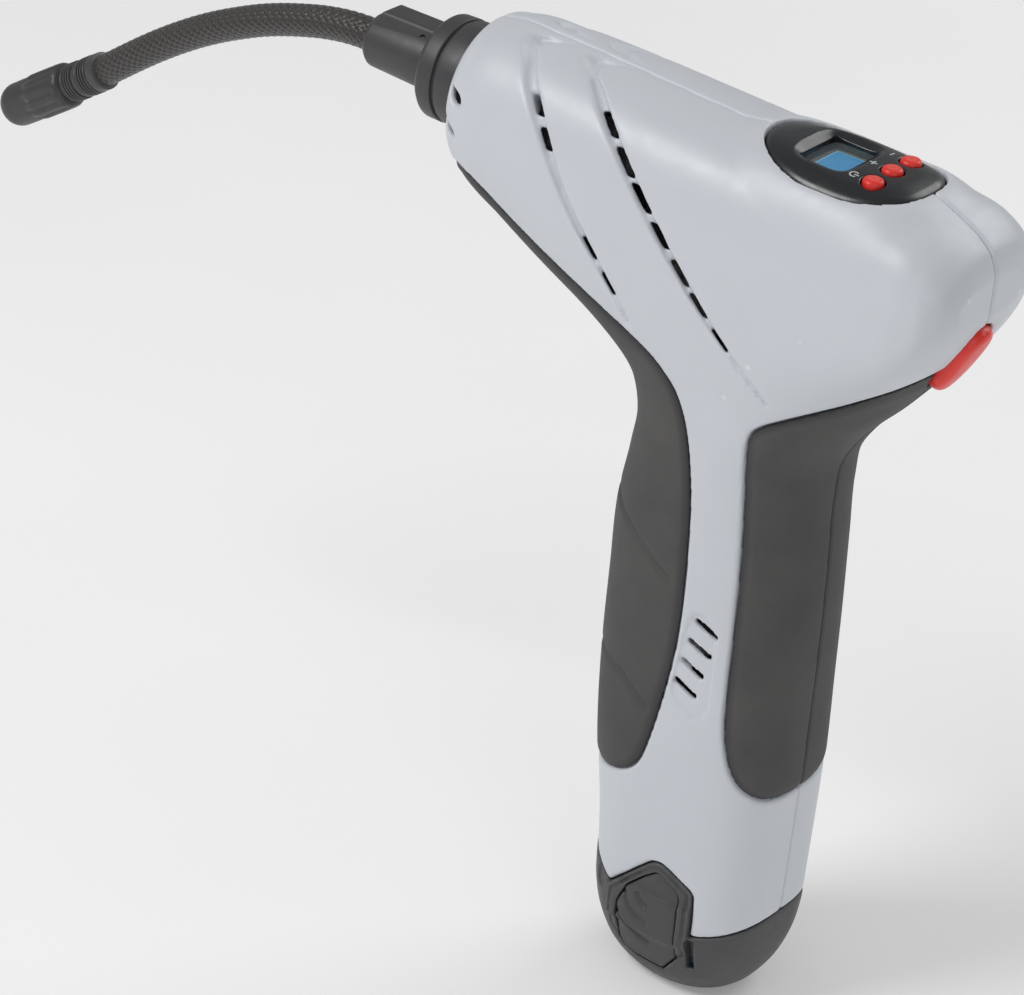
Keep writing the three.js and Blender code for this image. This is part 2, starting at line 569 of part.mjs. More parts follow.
const FIN_PITCH = 7.1;
const fins = Array.from({ length: 3 }, (_, i) => {
  const start = CYLINDER.front + 2.5 + FIN_PITCH * i;
  return [
    [start, CYLINDER.finRoot], [start + 2.8, CYLINDER.finRoot],
    [start + 2.8, CYLINDER.radius], [start + FIN_PITCH, CYLINDER.radius],
  ];
}).flat();
add('cylinder', turned([
  [CYLINDER.front, BORE_R], [CYLINDER.front, CYLINDER.radius],
  [CYLINDER.front + 2.5, CYLINDER.radius], ...fins,
  [CYLINDER.rear, BORE_R], [CYLINDER.front, BORE_R],
], 'x', [0, 0, PUMP_Z], 16), ALUMINIUM);
add('cylinder_head', turned([
  [CYLINDER.front - 10, 0], [CYLINDER.front - 10, 8], [CYLINDER.front - 8, 12],
  [CYLINDER.front - GAP, CYLINDER.radius], [CYLINDER.front - GAP, 0],
], 'x', [0, 0, PUMP_Z], 20), ALUMINIUM);

const CROWN_X = WRIST_X - 5;
add('piston', cut(turned([
  [CROWN_X, 0], [CROWN_X, 8.4], [CROWN_X + 1.6, 8.4], [CROWN_X + 1.6, 7], [CROWN_X + 3.4, 7],
  [CROWN_X + 3.4, 8.4], [CROWN_X + 9, 8.4], [CROWN_X + 9, 0],
], 'x', [0, 0, PUMP_Z], 18),
block(WRIST_X - 2.8, WRIST_X + 10, -3.2, 3.2, PUMP_Z - 3.8, PUMP_Z + 3.8),
rod(-20, 20, 1.8, 'y', [WRIST_X, 0, PUMP_Z], 12)), ALUMINIUM);
add('piston_ring', ring(CROWN_X + 1.9, CROWN_X + 3.1, 7.3, 8.7, 'x', [0, 0, PUMP_Z], 18), RUBBER);
add('wrist_pin', rod(-7, 7, 1.5, 'y', [WRIST_X, 0, PUMP_Z], 12), STEEL);

const BIG_END_X = CRANK_X - CRANK_R;
add('connecting_rod', cut(
  join(
    block(WRIST_X + 1, BIG_END_X - 2, -2, 2, PUMP_Z - 2.4, PUMP_Z + 2.4),
    rod(-2.8, 2.8, 2.5, 'y', [WRIST_X, 0, PUMP_Z], 16),
    rod(PUMP_Z - 3.2, PUMP_Z + 3.2, 4, 'z', [BIG_END_X, 0, 0], 20),
  ),
  rod(-20, 20, 1.8, 'y', [WRIST_X, 0, PUMP_Z], 12),
), ALUMINIUM);

const ELBOW = [[-79.3, 206], [-82, 206.2], [-84.4, 208.4], [-86.2, 211.4], [-88.5, 212]];
add('outlet_elbow', tube(ELBOW, 2.1, 8, 6), BLACK_PLASTIC);

// ---- battery ---------------------------------------------------------------------------

const battery = group(BATTERY_X, 0, 0);
const packSection = (halfX, halfY) => superEllipse(halfX, halfY, TOWER.power, 28);
const FOOT = [
  { at: -FOOT_DEPTH, low: -14, high: 10.6, half: 11.4, power: 2.2 },
  { at: -1.6, low: -17.2, high: 13.8, half: 14.2, power: 2.2 },
  { at: 0.6, low: -20.4, high: 17, half: 16.8, power: 2.35 },
  { at: 4.5, low: -23, high: 19.6, half: 18.9, power: 2.5 },
  { at: 9, low: -24.8, high: 21.2, half: 20.3, power: 2.65 },
  { at: 14, low: -26, high: 22.2, half: 21.2, power: 2.8 },
  { at: FOOT_TOP_Z, low: -27, high: 22.7, half: 21.9, power: 2.9 },
  { at: 30, low: -27.8, high: 22.8, half: 22.1, power: 2.9 },
];
const footLoft = common(loft(FOOT, alongZ), underParting(0));
const ears = common(outerBody, prismY(latchOutline(0), -REACH, REACH),
  block(-60, 60, -REACH, REACH, PARTING.lowest - 1, 50));
const footBody = join(footLoft, ears);
const LATCH_MARGIN = -3;
const pocketDepth = 3.1;
const inBattery = (shape) => shape.translate([-BATTERY_X, 0, 0]);

const latchLayer = (depth) =>
  join(
    loft(insetStations(FOOT, depth, 4, FOOT_TOP_Z), alongZ),
    pistol(depth, FOOT_TOP_Z - 0.5),
  );
const pocket = (side) =>
  cut(sidePrism(latchOutline(LATCH_MARGIN), side, 10), latchLayer(pocketDepth));
const cellWell = prismZ(packSection(TOWER.halfX - TOWER.wall, TOWER.halfY - TOWER.wall), 6, 60);
const towerWell = prismZ(packSection(TOWER.halfX + GAP, TOWER.halfY + GAP), FOOT_TOP_Z, 60);
add('battery_foot', cut(inBattery(cut(footBody, pocket(-1), pocket(1))), cellWell, towerWell),
  BLACK_PLASTIC, battery);

for (const [name, side] of SIDES) {
  const latch = cut(common(footBody, sidePrism(latchOutline(LATCH_MARGIN - GAP), side, 10)),
    latchLayer(1.4));
  add(`latch_${name}`, inBattery(latch), BLACK_PLASTIC, battery);
}

add('battery_tower', cut(
  prismZ(packSection(TOWER.halfX, TOWER.halfY), FOOT_TOP_Z + GAP, TOWER.top),
  prismZ(packSection(TOWER.halfX - TOWER.wall, TOWER.halfY - TOWER.wall), 0, TOWER.top - 2),
), BLACK_PLASTIC, battery);

const cellRow = (CELL.pitch * Math.sqrt(3)) / 4;
[[-CELL.pitch / 2, -cellRow], [CELL.pitch / 2, -cellRow], [0, cellRow]].forEach(([x, y], i) => {
  add(`battery_cell_${i + 1}`, turned([
    [CELL.bottom, 0], [CELL.bottom, CELL.radius - 0.4], [CELL.bottom + 0.4, CELL.radius],
    [CELL.bottom + CELL.length - 1.6, CELL.radius],
    [CELL.bottom + CELL.length - 1, CELL.radius - 0.6],
    [CELL.bottom + CELL.length - 1, 3], [CELL.bottom + CELL.length, 3],
    [CELL.bottom + CELL.length, 0],
  ], 'z', [x, y, 0], 14), CELL_WRAP, battery);
});

const BLADES = [-7, 0, 7];
add('battery_contacts', join(
  block(-10, 10, -5, 5, TOWER.top + GAP, TOWER.top + 2),
  ...BLADES.map((x) => block(x - 0.5, x + 0.5, -4, 4, TOWER.top + 1, TOWER.top + 9)),
), BRASS, battery);
add('terminal_block', cut(
  block(-12, 12, -16, 16, TOWER.top + 4, TOWER.top + 14),
  ...BLADES.map((x) => block(x - 1, x + 1, -5, 5, TOWER.top, TOWER.top + 10)),
), BLACK_PLASTIC, battery);

object.position.z = FOOT_DEPTH;

export default object;
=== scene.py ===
"""Looks of a portable cordless tire inflator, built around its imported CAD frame.

Shapes are worked out in millimetres. Heights are measured from a plane FOOT_DEPTH above the
flat underside of the foot, as in the CAD source, and every mesh is lifted by it and turned
into metres when it is made. X runs from the nose (-) to the tail (+), the left side is -Y.
"""

import math

import bpy
import numpy as np
import openvdb
from mathutils import Matrix, Vector


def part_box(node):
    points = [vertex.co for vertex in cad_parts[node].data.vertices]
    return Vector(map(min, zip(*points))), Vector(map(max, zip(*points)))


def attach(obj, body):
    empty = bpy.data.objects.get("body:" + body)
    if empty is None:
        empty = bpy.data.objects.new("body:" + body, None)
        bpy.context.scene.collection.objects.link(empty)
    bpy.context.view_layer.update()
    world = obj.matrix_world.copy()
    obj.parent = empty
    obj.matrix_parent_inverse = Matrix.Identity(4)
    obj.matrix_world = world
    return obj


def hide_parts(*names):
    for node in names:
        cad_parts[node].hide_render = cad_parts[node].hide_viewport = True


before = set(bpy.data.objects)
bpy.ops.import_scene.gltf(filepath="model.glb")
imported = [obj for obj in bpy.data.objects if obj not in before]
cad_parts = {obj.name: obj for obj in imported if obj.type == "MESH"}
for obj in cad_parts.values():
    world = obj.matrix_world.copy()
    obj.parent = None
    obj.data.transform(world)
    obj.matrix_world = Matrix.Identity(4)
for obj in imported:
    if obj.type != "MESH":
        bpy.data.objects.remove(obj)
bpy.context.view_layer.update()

MM = 0.001
FOOT_DEPTH = 2.5
LIFT = np.array([0, 0, FOOT_DEPTH])

# ---- camera and hose route, which come first ---------------------------------

CAMERA = {"azimuth": 34.16, "elevation": 29.04, "roll": -6.4, "distance": 1.107,
          "lens_mm": 153.421875, "sensor_mm": 36, "aim": (-0.0726, 0, 0.1063)}


def build_camera():
    data = bpy.data.cameras.new("camera")
    data.sensor_width = CAMERA["sensor_mm"]
    data.lens = CAMERA["lens_mm"]
    data.clip_end = 20
    camera = bpy.data.objects.new("camera", data)
    bpy.context.scene.collection.objects.link(camera)
    turn, rise = math.radians(CAMERA["azimuth"]), math.radians(CAMERA["elevation"])
    back = Vector((math.sin(turn) * math.cos(rise), -math.cos(turn) * math.cos(rise),
                   math.sin(rise)))
    right = Vector((math.cos(turn), math.sin(turn), 0))
    facing = Matrix((right, back.cross(right), back)).transposed().to_4x4()
    place = Matrix.Translation(Vector(CAMERA["aim"]) + CAMERA["distance"] * back)
    camera.matrix_world = place @ facing @ Matrix.Rotation(-math.radians(CAMERA["roll"]), 4, "Z")
    bpy.context.scene.camera = camera


build_camera()

HOSE_DIAMETER = 0.0085
# Centre line of the free hose (x, z) in metres, drooping from the connector to the chuck
HOSE_ROUTE = [
    (-0.1283, 0.2120), (-0.1325, 0.2120), (-0.1384, 0.2115), (-0.1455, 0.2102),
    (-0.1526, 0.2083), (-0.1590, 0.2063), (-0.1654, 0.2039), (-0.1717, 0.2011),
    (-0.1783, 0.1979), (-0.1847, 0.1944), (-0.1911, 0.1905), (-0.1970, 0.1866),
    (-0.2025, 0.1827), (-0.2080, 0.1786), (-0.2122, 0.1754), (-0.2160, 0.1726),
]

# ---- driving dimensions ------------------------------------------------------

FAR = 9.0
NOSE_Z = 212
COLLAR_FRONT = -106.6
COLLAR_R = 13.5
CONNECTOR_FRONT = -128
CONNECTOR_R = 7.5
CHUCK_DROP = 34.3
WALL = 2.2
GRIP = 1.3
GRIP_GAP = 0.15
GRIP_SEAT = GRIP + 0.3
SEAM = 0.12
SLOT_REACH = -9
SLOT_HALF_WIDTH = 0.85
LANE_DEPTH = 1.6
LANE_SLANT = 0.72
BOSS_R = 4.4
BOSS_WALL_R = 4.6
SCREW_HOLE_R = 1.9
SCREW_HEAD_R = 3.2
CROWN_Z = 231
TAIL_X = 53
NOSE_X = -93.5
PARTING = {"lowest": 18.8, "x": 3, "bow": 0.0135}

# Handle outline by height: (z, front x, rear x, half width, squareness)
HANDLE = [
    (10, -26.3, 22.6, 21.7, 2.9), (40, -28.5, 22.9, 22.3, 2.9), (64, -32, 22.9, 23.4, 2.8),
    (86, -34.1, 22.4, 23.8, 2.6), (108, -35, 21.8, 24, 2.45), (127, -35.4, 20.8, 24, 2.4),
    (143, -33.4, 19.8, 23.8, 2.4), (153, -32.8, 20.6, 23.8, 2.4), (162, -35.6, 25.4, 24, 2.5),
    (172, -44, 33.4, 24.2, 2.5), (190, -60, 43, 24, 2.6),
]
# Head outline along X: (x, lowest z, highest z, half width, squareness)
HEAD = [
    (-93.5, 194.5, 226.5, 16, 2), (-91.5, 191.2, 229.6, 18.8, 2.05), (-87, 188.4, 231.2, 20.8, 2.15),
    (-74, 182.8, 231.6, 22.8, 2.4), (-56, 174.8, 230.9, 24.2, 2.7), (-34, 166.2, 229.8, 25.2, 2.9),
    (-6, 163, 228.6, 25.6, 3), (16, 166.8, 228, 25.6, 3), (34, 177, 226.8, 25.1, 3),
    (43.5, 185.8, 224.3, 24.2, 3), (48, 191.6, 221.6, 22.8, 2.8), (51, 196.8, 218.8, 19.8, 2.6),
    (53, 201.2, 215.6, 16.8, 2.5),
]
# Battery foot by height: (z, front x, rear x, half width, squareness)
FOOT = [
    (-2.5, -13, 9.6, 10.4, 2.2), (-1.7, -16, 12.6, 13, 2.2), (0.6, -19.4, 16, 15.9, 2.3),
    (4.5, -22.4, 19, 18.5, 2.5), (9, -24.5, 20.9, 20.1, 2.65), (14, -26, 22.1, 21.2, 2.8),
    (20, -27, 22.7, 21.9, 2.9), (30, -27.8, 22.8, 22.1, 2.9),
]
# Side-view outlines (x, z) of the rubber grips; they run past the body where it ends them
FRONT_GRIP = [
    (-88, 199.5), (-70.4, 191.8), (-51.3, 184), (-38.9, 179.8), (-26.5, 175.6), (-19.5, 172.2),
    (-13.4, 166.4), (-9.1, 158.1), (-5.8, 143.2), (-4.5, 130), (-3.6, 113.7), (-3.9, 99.4),
    (-6.1, 82.6), (-9.2, 67), (-12, 61), (-17, 57.5), (-25, 55), (-60, 52), (-60, 120),
    (-110, 150), (-110, 190),
]
REAR_GRIP = [
    (7, 162.5), (9.5, 165.8), (18.8, 171.6), (31.5, 179.4), (43.8, 187.9), (49.8, 192.3),
    (70, 205), (70, 60.5), (24, 60.5), (19.5, 62), (15, 66.5), (12.2, 73.5), (10.6, 82),
    (10.1, 91.4), (9.6, 108.2), (8.9, 124.7), (7.7, 140.6), (6.6, 153.7),
]
# Gill lanes curl from the crown down the side. Each edge is (way down from the crown, x)
FRONT_LANE = {
    "front": [(0, -62), (2, -72), (4.5, -78), (8, -78.8), (17.1, -74), (25.3, -69.8),
              (32.4, -65.6), (42, -59.2), (54.7, -50), (59.4, -45.8), (71, -34.6), (77.2, -28.3)],
    "rear": [(0, -60), (2, -65), (5, -71.5), (9, -73.2), (15, -70.6), (23.9, -66), (30.9, -61.8),
             (40.1, -56.6), (51.7, -49.4), (58.4, -43.8), (70.5, -32.8), (77.2, -27)],
    "slots": [(25.2, 31.3), (34.3, 40), (58.4, 63), (65.4, 70.5)],
}
REAR_LANE = {
    "front": [(0, -47), (2, -57), (4.5, -62.6), (8, -61.6), (13.9, -57), (22.2, -50), (29.6, -44.2),
              (38.7, -36.9), (45.9, -30.5), (62, -14.8), (73, -1.9), (83, 12.2)],
    "rear": [(0, -45), (2, -49.5), (5, -55.6), (8, -56), (19, -48.1), (27.1, -41.8), (36.2, -34.4),
             (44.3, -27.6), (61, -12.4), (73, 0.5), (83, 13.8)],
    "slots": [(22.1, 29.1), (31.3, 37.9), (40, 45.8), (48.2, 53.2), (55.3, 60.1), (62, 66.7),
              (68.6, 73.4)],
}
LEAVES = [
    [(-92.2, 218), (-88.8, 217.4), (-86, 215.8), (-85.8, 213.2), (-88.6, 212.6), (-91, 214.2)],
    [(-94.4, 212), (-90.4, 209.4), (-86.2, 205.6), (-88.2, 204), (-91.4, 205.2), (-93, 207.6)],
]
VENT_PANEL = [(-1.6, 112.9), (5.2, 110.2), (6.6, 104), (7, 85), (5, 80.9), (-3.6, 86), (-4.3, 89.4)]
VENT_SLOTS = [((0.6 - 1.2 * i, 108.8 - 6 * i), (5.7 - 1.2 * i, 106.2 - 6 * i)) for i in range(4)]
CREASES = [[(-38, 133), (-22, 125.5), (-8.4, 116.8)], [(-38, 88.4), (-19.3, 85.5), (-10.6, 79.6)]]
LATCH = [(-16.2, 6), (9.2, 6), (9.2, 31.2), (7.4, 33.2), (0.4, 36.8), (-2.6, 36.8), (-4.9, 35.2),
         (-15.2, 24.6), (-16.2, 23.4)]
LATCH_BUTTON = [(-12.9, 9.3), (-10, 5), (5.6, 4.6), (5.9, 27.6), (4.6, 31), (-0.2, 33.8),
                (-2.6, 33.8), (-12.3, 24.2)]
LATCH_ARCS = [((-2.6, 27), 3.6), ((-1.9, 26.6), 8.4), ((-0.6, 26.4), 14.6)]
FOOT_NOTCH = [(-21, 27), (-17.6, 24.6), (-17.4, 21), (-21, 20)]
FOOT_SLOT = {"x": 9.7, "half_x": 1, "z": 13.6, "half_z": 4.7}
SCREWS = [(-66, 222.4), (43.5, 213.5), (-58, 183.4), (-26.5, 138), (-4, 97), (24, 181)]
TOWER_HALF = (19.4, 18.3)
CELL_WELL_HALF = (18, 16.9)
WELL_POWER = 4.8
BATTERY_X = -2.5

PANEL = {"x": 11.2, "half_x": 21.8, "half_y": 16.3, "proud": 1.7}
WINDOW = {"x": 7.4, "half_x": 6, "half_y": 7.8}
BUTTON = {"x": 22, "pitch": 8, "radius": 2.6}
TRIGGER = {"x": 43.9, "z": 192.9, "tilt": 28, "half_length": 10.5, "half_width": 6}


# ---- curves and distance fields ----------------------------------------------


def smooth_curve(places, values, at):
    """A cubic through the values, with each slope taken from the neighbours."""
    places, values = np.asarray(places, float), np.asarray(values, float)
    slopes = np.gradient(values, places)
    i = np.clip(np.searchsorted(places, at) - 1, 0, len(places) - 2)
    span = places[i + 1] - places[i]
    t = np.clip((at - places[i]) / span, 0, 1)
    start = values[i] * (1 + 2 * t) * (1 - t) ** 2 + slopes[i] * span * t * (1 - t) ** 2
    end = values[i + 1] * t * t * (3 - 2 * t) + slopes[i + 1] * span * t * t * (t - 1)
    return start + end


def smoothstep(value, low, high):
    t = np.clip((value - low) / (high - low), 0, 1)
    return t * t * (3 - 2 * t)


def join(a, b, blend=0.01):
    """Union of two fields, with a fillet of about that size."""
    mix = np.maximum(blend - np.abs(a - b), 0) / blend
    return np.minimum(a, b) - mix * mix * blend / 4


def common(a, b, blend=0.01):
    return -join(-a, -b, blend)


def cut(a, b, blend=0.01):
    return common(a, -b, blend)


def section(along, across, side, stations):
    """Superellipse tube through the stations; zero on its surface, -1 on its axis."""
    places = [s[0] for s in stations]
    low, high, half, power = (smooth_curve(places, [s[k] for s in stations], along)
                              for k in (1, 2, 3, 4))
    u = np.abs((across - (low + high) / 2) / ((high - low) / 2))
    v = np.abs(side / half)
    return (u ** power + v ** power) ** (1 / power) - 1


class Grid:
    """A box of sample points. Fields on it are distances in millimetres, negative inside."""

    def __init__(self, low, high, step):
        self.low, self.step = np.array(low, float), step
        axes = [np.arange(a, b + step, step, dtype=np.float32) for a, b in zip(low, high)]
        self.x = axes[0][:, None, None]
        self.y = axes[1][None, :, None]
        self.z = axes[2][None, None, :]

    def true_distance(self, field):
        slopes = np.gradient(field, self.step)
        steepness = np.sqrt(sum(s * s for s in slopes))
        return field / np.maximum(steepness, 0.01)

    def mesh(self, field):
        """Corners and quads of the field's surface, with a closed skin at the grid's edge."""
        filled = np.array(field + np.zeros((self.x.size, self.y.size, self.z.size)), np.float32)
        for axis in range(3):
            ends = [slice(None)] * 3
            for end in (0, -1):
                ends[axis] = end
                filled[tuple(ends)] = np.maximum(filled[tuple(ends)], self.step)
        limit = 3 * self.step
        volume = openvdb.FloatGrid(limit)
        volume.copyFromArray(np.clip(filled, -limit, limit))
        points, quads = volume.convertToQuads()
        return points * self.step + self.low, quads


def outline_distance(outline, x, z, rounds=3):
    """Signed distance to a closed outline whose corners are rounded by a smooth curve."""
    corners = np.array(outline, float)
    for _ in range(rounds):
        after = np.roll(corners, -1, axis=0)
        corners = np.stack([0.75 * corners + 0.25 * after, 0.25 * corners + 0.75 * after], 1)
        corners = corners.reshape(-1, 2)
    nearest = np.full(np.broadcast(x, z).shape, 1e9)
    inside = np.zeros(nearest.shape, bool)
    for (ax, az), (bx, bz) in zip(corners, np.roll(corners, -1, axis=0)):
        nearest = np.minimum(nearest, segment_distance(x, z, (ax, az), (bx, bz)))
        crosses = (az > z) != (bz > z)
        inside ^= crosses & (x < ax + (bx - ax) * (z - az) / (bz - az + 1e-12))
    return np.where(inside, -nearest, nearest)


def segment_distance(x, z, a, b):
    (ax, az), (bx, bz) = a, b
    length = (bx - ax) ** 2 + (bz - az) ** 2 + 1e-12
    t = np.clip(((x - ax) * (bx - ax) + (z - az) * (bz - az)) / length, 0, 1)
    return np.hypot(x - ax - t * (bx - ax), z - az - t * (bz - az))


def polyline_distance(x, z, points):
    return np.minimum.reduce([segment_distance(x, z, a, b) for a, b in zip(points, points[1:])])


def body_field(grid):
    """The pistol body: head and handle with a fillet between them."""
    head = grid.true_distance(section(grid.x, grid.z, grid.y, HEAD))
    head = common(head, NOSE_X - grid.x, 1.2)
    head = common(head, grid.x - TAIL_X, 2.5)
    handle = grid.true_distance(section(grid.z, grid.x, grid.y, HANDLE))
    handle = common(handle, grid.z - HANDLE[-1][0])
    return join(head, handle, 6)


def parting_height(x):
    return PARTING["lowest"] + PARTING["bow"] * (x - PARTING["x"]) ** 2


def panel_edge(x, y):
    """Distance outside the control panel's egg-shaped outline, in plan."""
    u, v = np.abs(x - PANEL["x"]) / PANEL["half_x"], np.abs(y) / PANEL["half_y"]
    power = np.where(x < PANEL["x"], 2.0, 2.7)
    return ((u ** power + v ** power) ** (1 / power) - 1) * PANEL["half_y"]


def pod_rise(x, y, z):
    """The shell swells towards the control panel."""
    return 1.3 * (1 - smoothstep(panel_edge(x, y), 0.5, 7)) * smoothstep(z, 205, 215)


def lane_recess(grid, lane):
    """Depth of a gill lane, and the field of the slots through it."""
    way_down = np.abs(grid.y) + CROWN_Z - grid.z
    front, rear = (smooth_curve(*zip(*lane[edge]), way_down) for edge in ("front", "rear"))
    width = np.maximum(rear - front, 0.4)
    share = (grid.x - front) / width
    last = lane["front"][-1][0]
    fade = (1 - 0.5 * smoothstep(way_down, last - 20, last - 8)) * smoothstep(last - way_down, 0, 2)
    fade = fade * smoothstep(way_down, 1, 6)
    across = (grid.x - front) * LANE_SLANT
    depth = LANE_DEPTH * fade * smoothstep(share, -0.12, 0.5) * smoothstep(rear - grid.x, 0, 0.4)
    slots = np.full(share.shape, FAR, np.float32)
    for start, end in lane["slots"]:
        ends = np.maximum(start - way_down, way_down - end)
        sides = np.maximum(0.4 * width * LANE_SLANT - across, (grid.x - rear) * LANE_SLANT)
        slots = np.minimum(slots, np.maximum(ends, sides))
    return depth, slots


def rod_field(grid, x, z, radius):
    return np.hypot(grid.x - x, grid.z - z) - radius


def nose_opening(grid, radius):
    around = np.hypot(grid.y, grid.z - NOSE_Z) - radius
    return np.maximum(around, grid.x + 80)


TRIGGER_OUT = (math.cos(math.radians(TRIGGER["tilt"])), -math.sin(math.radians(TRIGGER["tilt"])))


def trigger_place(grid):
    """Distances out of the tail and up along it, from the trigger's middle."""
    dx, dz = grid.x - TRIGGER["x"], grid.z - TRIGGER["z"]
    return dx * TRIGGER_OUT[0] + dz * TRIGGER_OUT[1], -dx * TRIGGER_OUT[1] + dz * TRIGGER_OUT[0]


def trigger_capsule(grid, margin):
    _, up = trigger_place(grid)
    straight = TRIGGER["half_length"] - TRIGGER["half_width"]
    past = np.maximum(np.abs(up) - straight, 0)
    return np.hypot(past, grid.y) - TRIGGER["half_width"] - margin


# ---- materials ---------------------------------------------------------------


class Nodes:
    """A new node material with a Principled shader, and short ways to add nodes to it."""

    def __init__(self, name):
        self.material = bpy.data.materials.new(name)
        self.material.use_nodes = True
        self.tree = self.material.node_tree
        self.shader = self.tree.nodes["Principled BSDF"]
        self.place = self.add("ShaderNodeTexCoord").outputs["Object"]

    def add(self, kind, **settings):
        node = self.tree.nodes.new(kind)
        for key, value in settings.items():
            setattr(node, key, value)
        return node

    def link(self, source, target):
        self.tree.links.new(source, target)

    def noise(self, scale, detail=3, roughness=0.55):
        node = self.add("ShaderNodeTexNoise")
        node.inputs["Scale"].default_value = scale
        node.inputs["Detail"].default_value = detail
        node.inputs["Roughness"].default_value = roughness
        self.link(self.place, node.inputs["Vector"])
        return node.outputs["Fac"]

    def spread(self, source, low, high, source_low=0.3, source_high=0.7):
        node = self.add("ShaderNodeMapRange")
        values = {"From Min": source_low, "From Max": source_high, "To Min": low, "To Max": high}
        for key, value in values.items():
            node.inputs[key].default_value = value
        self.link(source, node.inputs["Value"])
        return node.outputs["Result"]

    def ramp(self, source, stops):
        node = self.add("ShaderNodeValToRGB")
        band = node.color_ramp
        band.elements[0].position, band.elements[0].color = stops[0][0], (*stops[0][1], 1)
        band.elements[1].position, band.elements[1].color = stops[-1][0], (*stops[-1][1], 1)
        for position, colour in stops[1:-1]:
            band.elements.new(position).color = (*colour, 1)
        self.link(source, node.inputs["Fac"])
        return node.outputs["Color"]

    def mixed(self, share, first, second):
        node = self.add("ShaderNodeMix", data_type="RGBA")
        self.link(share, node.inputs["Factor"])
        for colour, target in ((first, node.inputs["A"]), (second, node.inputs["B"])):
            if isinstance(colour, tuple):
                target.default_value = (*colour, 1)
            else:
                self.link(colour, target)
        return node.outputs["Result"]

    def bump(self, height, distance, strength=1.0, under=None):
        node = self.add("ShaderNodeBump")
        node.inputs["Distance"].default_value = distance
        node.inputs["Strength"].default_value = strength
        self.link(height, node.inputs["Height"])
        if under is not None:
            self.link(under, node.inputs["Normal"])
        return node.outputs["Normal"]


def linear(red, green, blue):
    """An sRGB colour from 0 to 255 as linear light."""
    def channel(value):
        value /= 255
        return value / 12.92 if value <= 0.04045 else ((value + 0.055) / 1.055) ** 2.4
    return tuple(channel(v) for v in (red, green, blue))


def shaded(colour, factor):
    return tuple(min(c * factor, 1) for c in colour)


def moulded(name, colour, roughness, grain=2600, depth=0.00002, mottle=0.05, wear=None, **sockets):
    """Moulded plastic or rubber: fine spark-eroded grain, slow colour drift and paler worn edges."""
    nodes = Nodes(name)
    drift = nodes.noise(38, 4)
    base = nodes.ramp(drift, [(0.3, shaded(colour, 1 - mottle)), (0.7, shaded(colour, 1 + mottle))])
    if wear is not None:
        edge = nodes.add("ShaderNodeNewGeometry").outputs["Pointiness"]
        worn = nodes.spread(edge, 0, 0.5, 0.52, 0.62)
        base = nodes.mixed(worn, base, wear)
    nodes.link(base, nodes.shader.inputs["Base Color"])
    fine = nodes.noise(grain, 2)
    uneven = nodes.noise(260, 3)
    nodes.link(nodes.spread(uneven, roughness - 0.05, roughness + 0.05),
               nodes.shader.inputs["Roughness"])
    nodes.link(nodes.bump(fine, depth), nodes.shader.inputs["Normal"])
    for key, value in sockets.items():
        nodes.shader.inputs[key.replace("_", " ")].default_value = value
    return nodes.material


def grip_rubber(name):
    """Soft rubber, glossier in the bevelled border than on the crowned middle; the border's darker
    colour is painted shade for the tilted bevel.
    """
    nodes = Nodes(name)
    border = nodes.add("ShaderNodeAttribute", attribute_name="border").outputs["Fac"]
    middle = nodes.ramp(nodes.noise(60, 4), [(0.3, linear(72, 72, 72)), (0.7, linear(82, 81, 80))])
    # painted shade: the border's darker colour stands in for the bevel tilting away from the light;
    # the middle's noise is the rubber's own tone
    base = nodes.mixed(nodes.spread(border, 0, 1, 0.3, 2.6), linear(44, 43, 47), middle)
    nodes.link(base, nodes.shader.inputs["Base Color"])
    nodes.link(nodes.spread(border, 0.45, 0.72, 0.3, 2.6), nodes.shader.inputs["Roughness"])
    nodes.link(nodes.bump(nodes.noise(2400, 2), 0.00003), nodes.shader.inputs["Normal"])
    nodes.shader.inputs["Specular IOR Level"].default_value = 0.4
    return nodes.material


def metal(name, colour, roughness, streak=(40, 40, 900)):
    """Machined metal with fine tool marks and a little tarnish."""
    nodes = Nodes(name)
    stretch = nodes.add("ShaderNodeMapping")
    stretch.inputs["Scale"].default_value = streak
    nodes.link(nodes.place, stretch.inputs["Vector"])
    marks = nodes.add("ShaderNodeTexNoise")
    marks.inputs["Scale"].default_value = 8
    nodes.link(stretch.outputs["Vector"], marks.inputs["Vector"])
    base = nodes.ramp(nodes.noise(120, 4), [(0.3, shaded(colour, 0.85)), (0.7, colour)])
    nodes.link(base, nodes.shader.inputs["Base Color"])
    nodes.link(nodes.spread(marks.outputs["Fac"], roughness - 0.08, roughness + 0.12),
               nodes.shader.inputs["Roughness"])
    nodes.link(nodes.bump(marks.outputs["Fac"], 0.00003), nodes.shader.inputs["Normal"])
    nodes.shader.inputs["Metallic"].default_value = 1
    return nodes.material


def braid_yarn(name):
    """Glossy black yarn of the hose's braid; the strands themselves are in the mesh, and painted
    shade darkens the yarn down between them.
    """
    nodes = Nodes(name)
    height = nodes.add("ShaderNodeAttribute", attribute_name="strand").outputs["Fac"]
    # painted shade: colour runs from near black in the dips between strands to the yarn's grey on
    # their tops
    base = nodes.ramp(height, [(0.15, linear(10, 10, 10)), (0.75, linear(50, 46, 44))])
    nodes.link(base, nodes.shader.inputs["Base Color"])
    fibres = nodes.noise(5200, 2)
    nodes.link(nodes.spread(fibres, 0.28, 0.46), nodes.shader.inputs["Roughness"])
    nodes.link(nodes.bump(fibres, 0.00004), nodes.shader.inputs["Normal"])
    nodes.shader.inputs["Sheen Weight"].default_value = 0.2
    return nodes.material


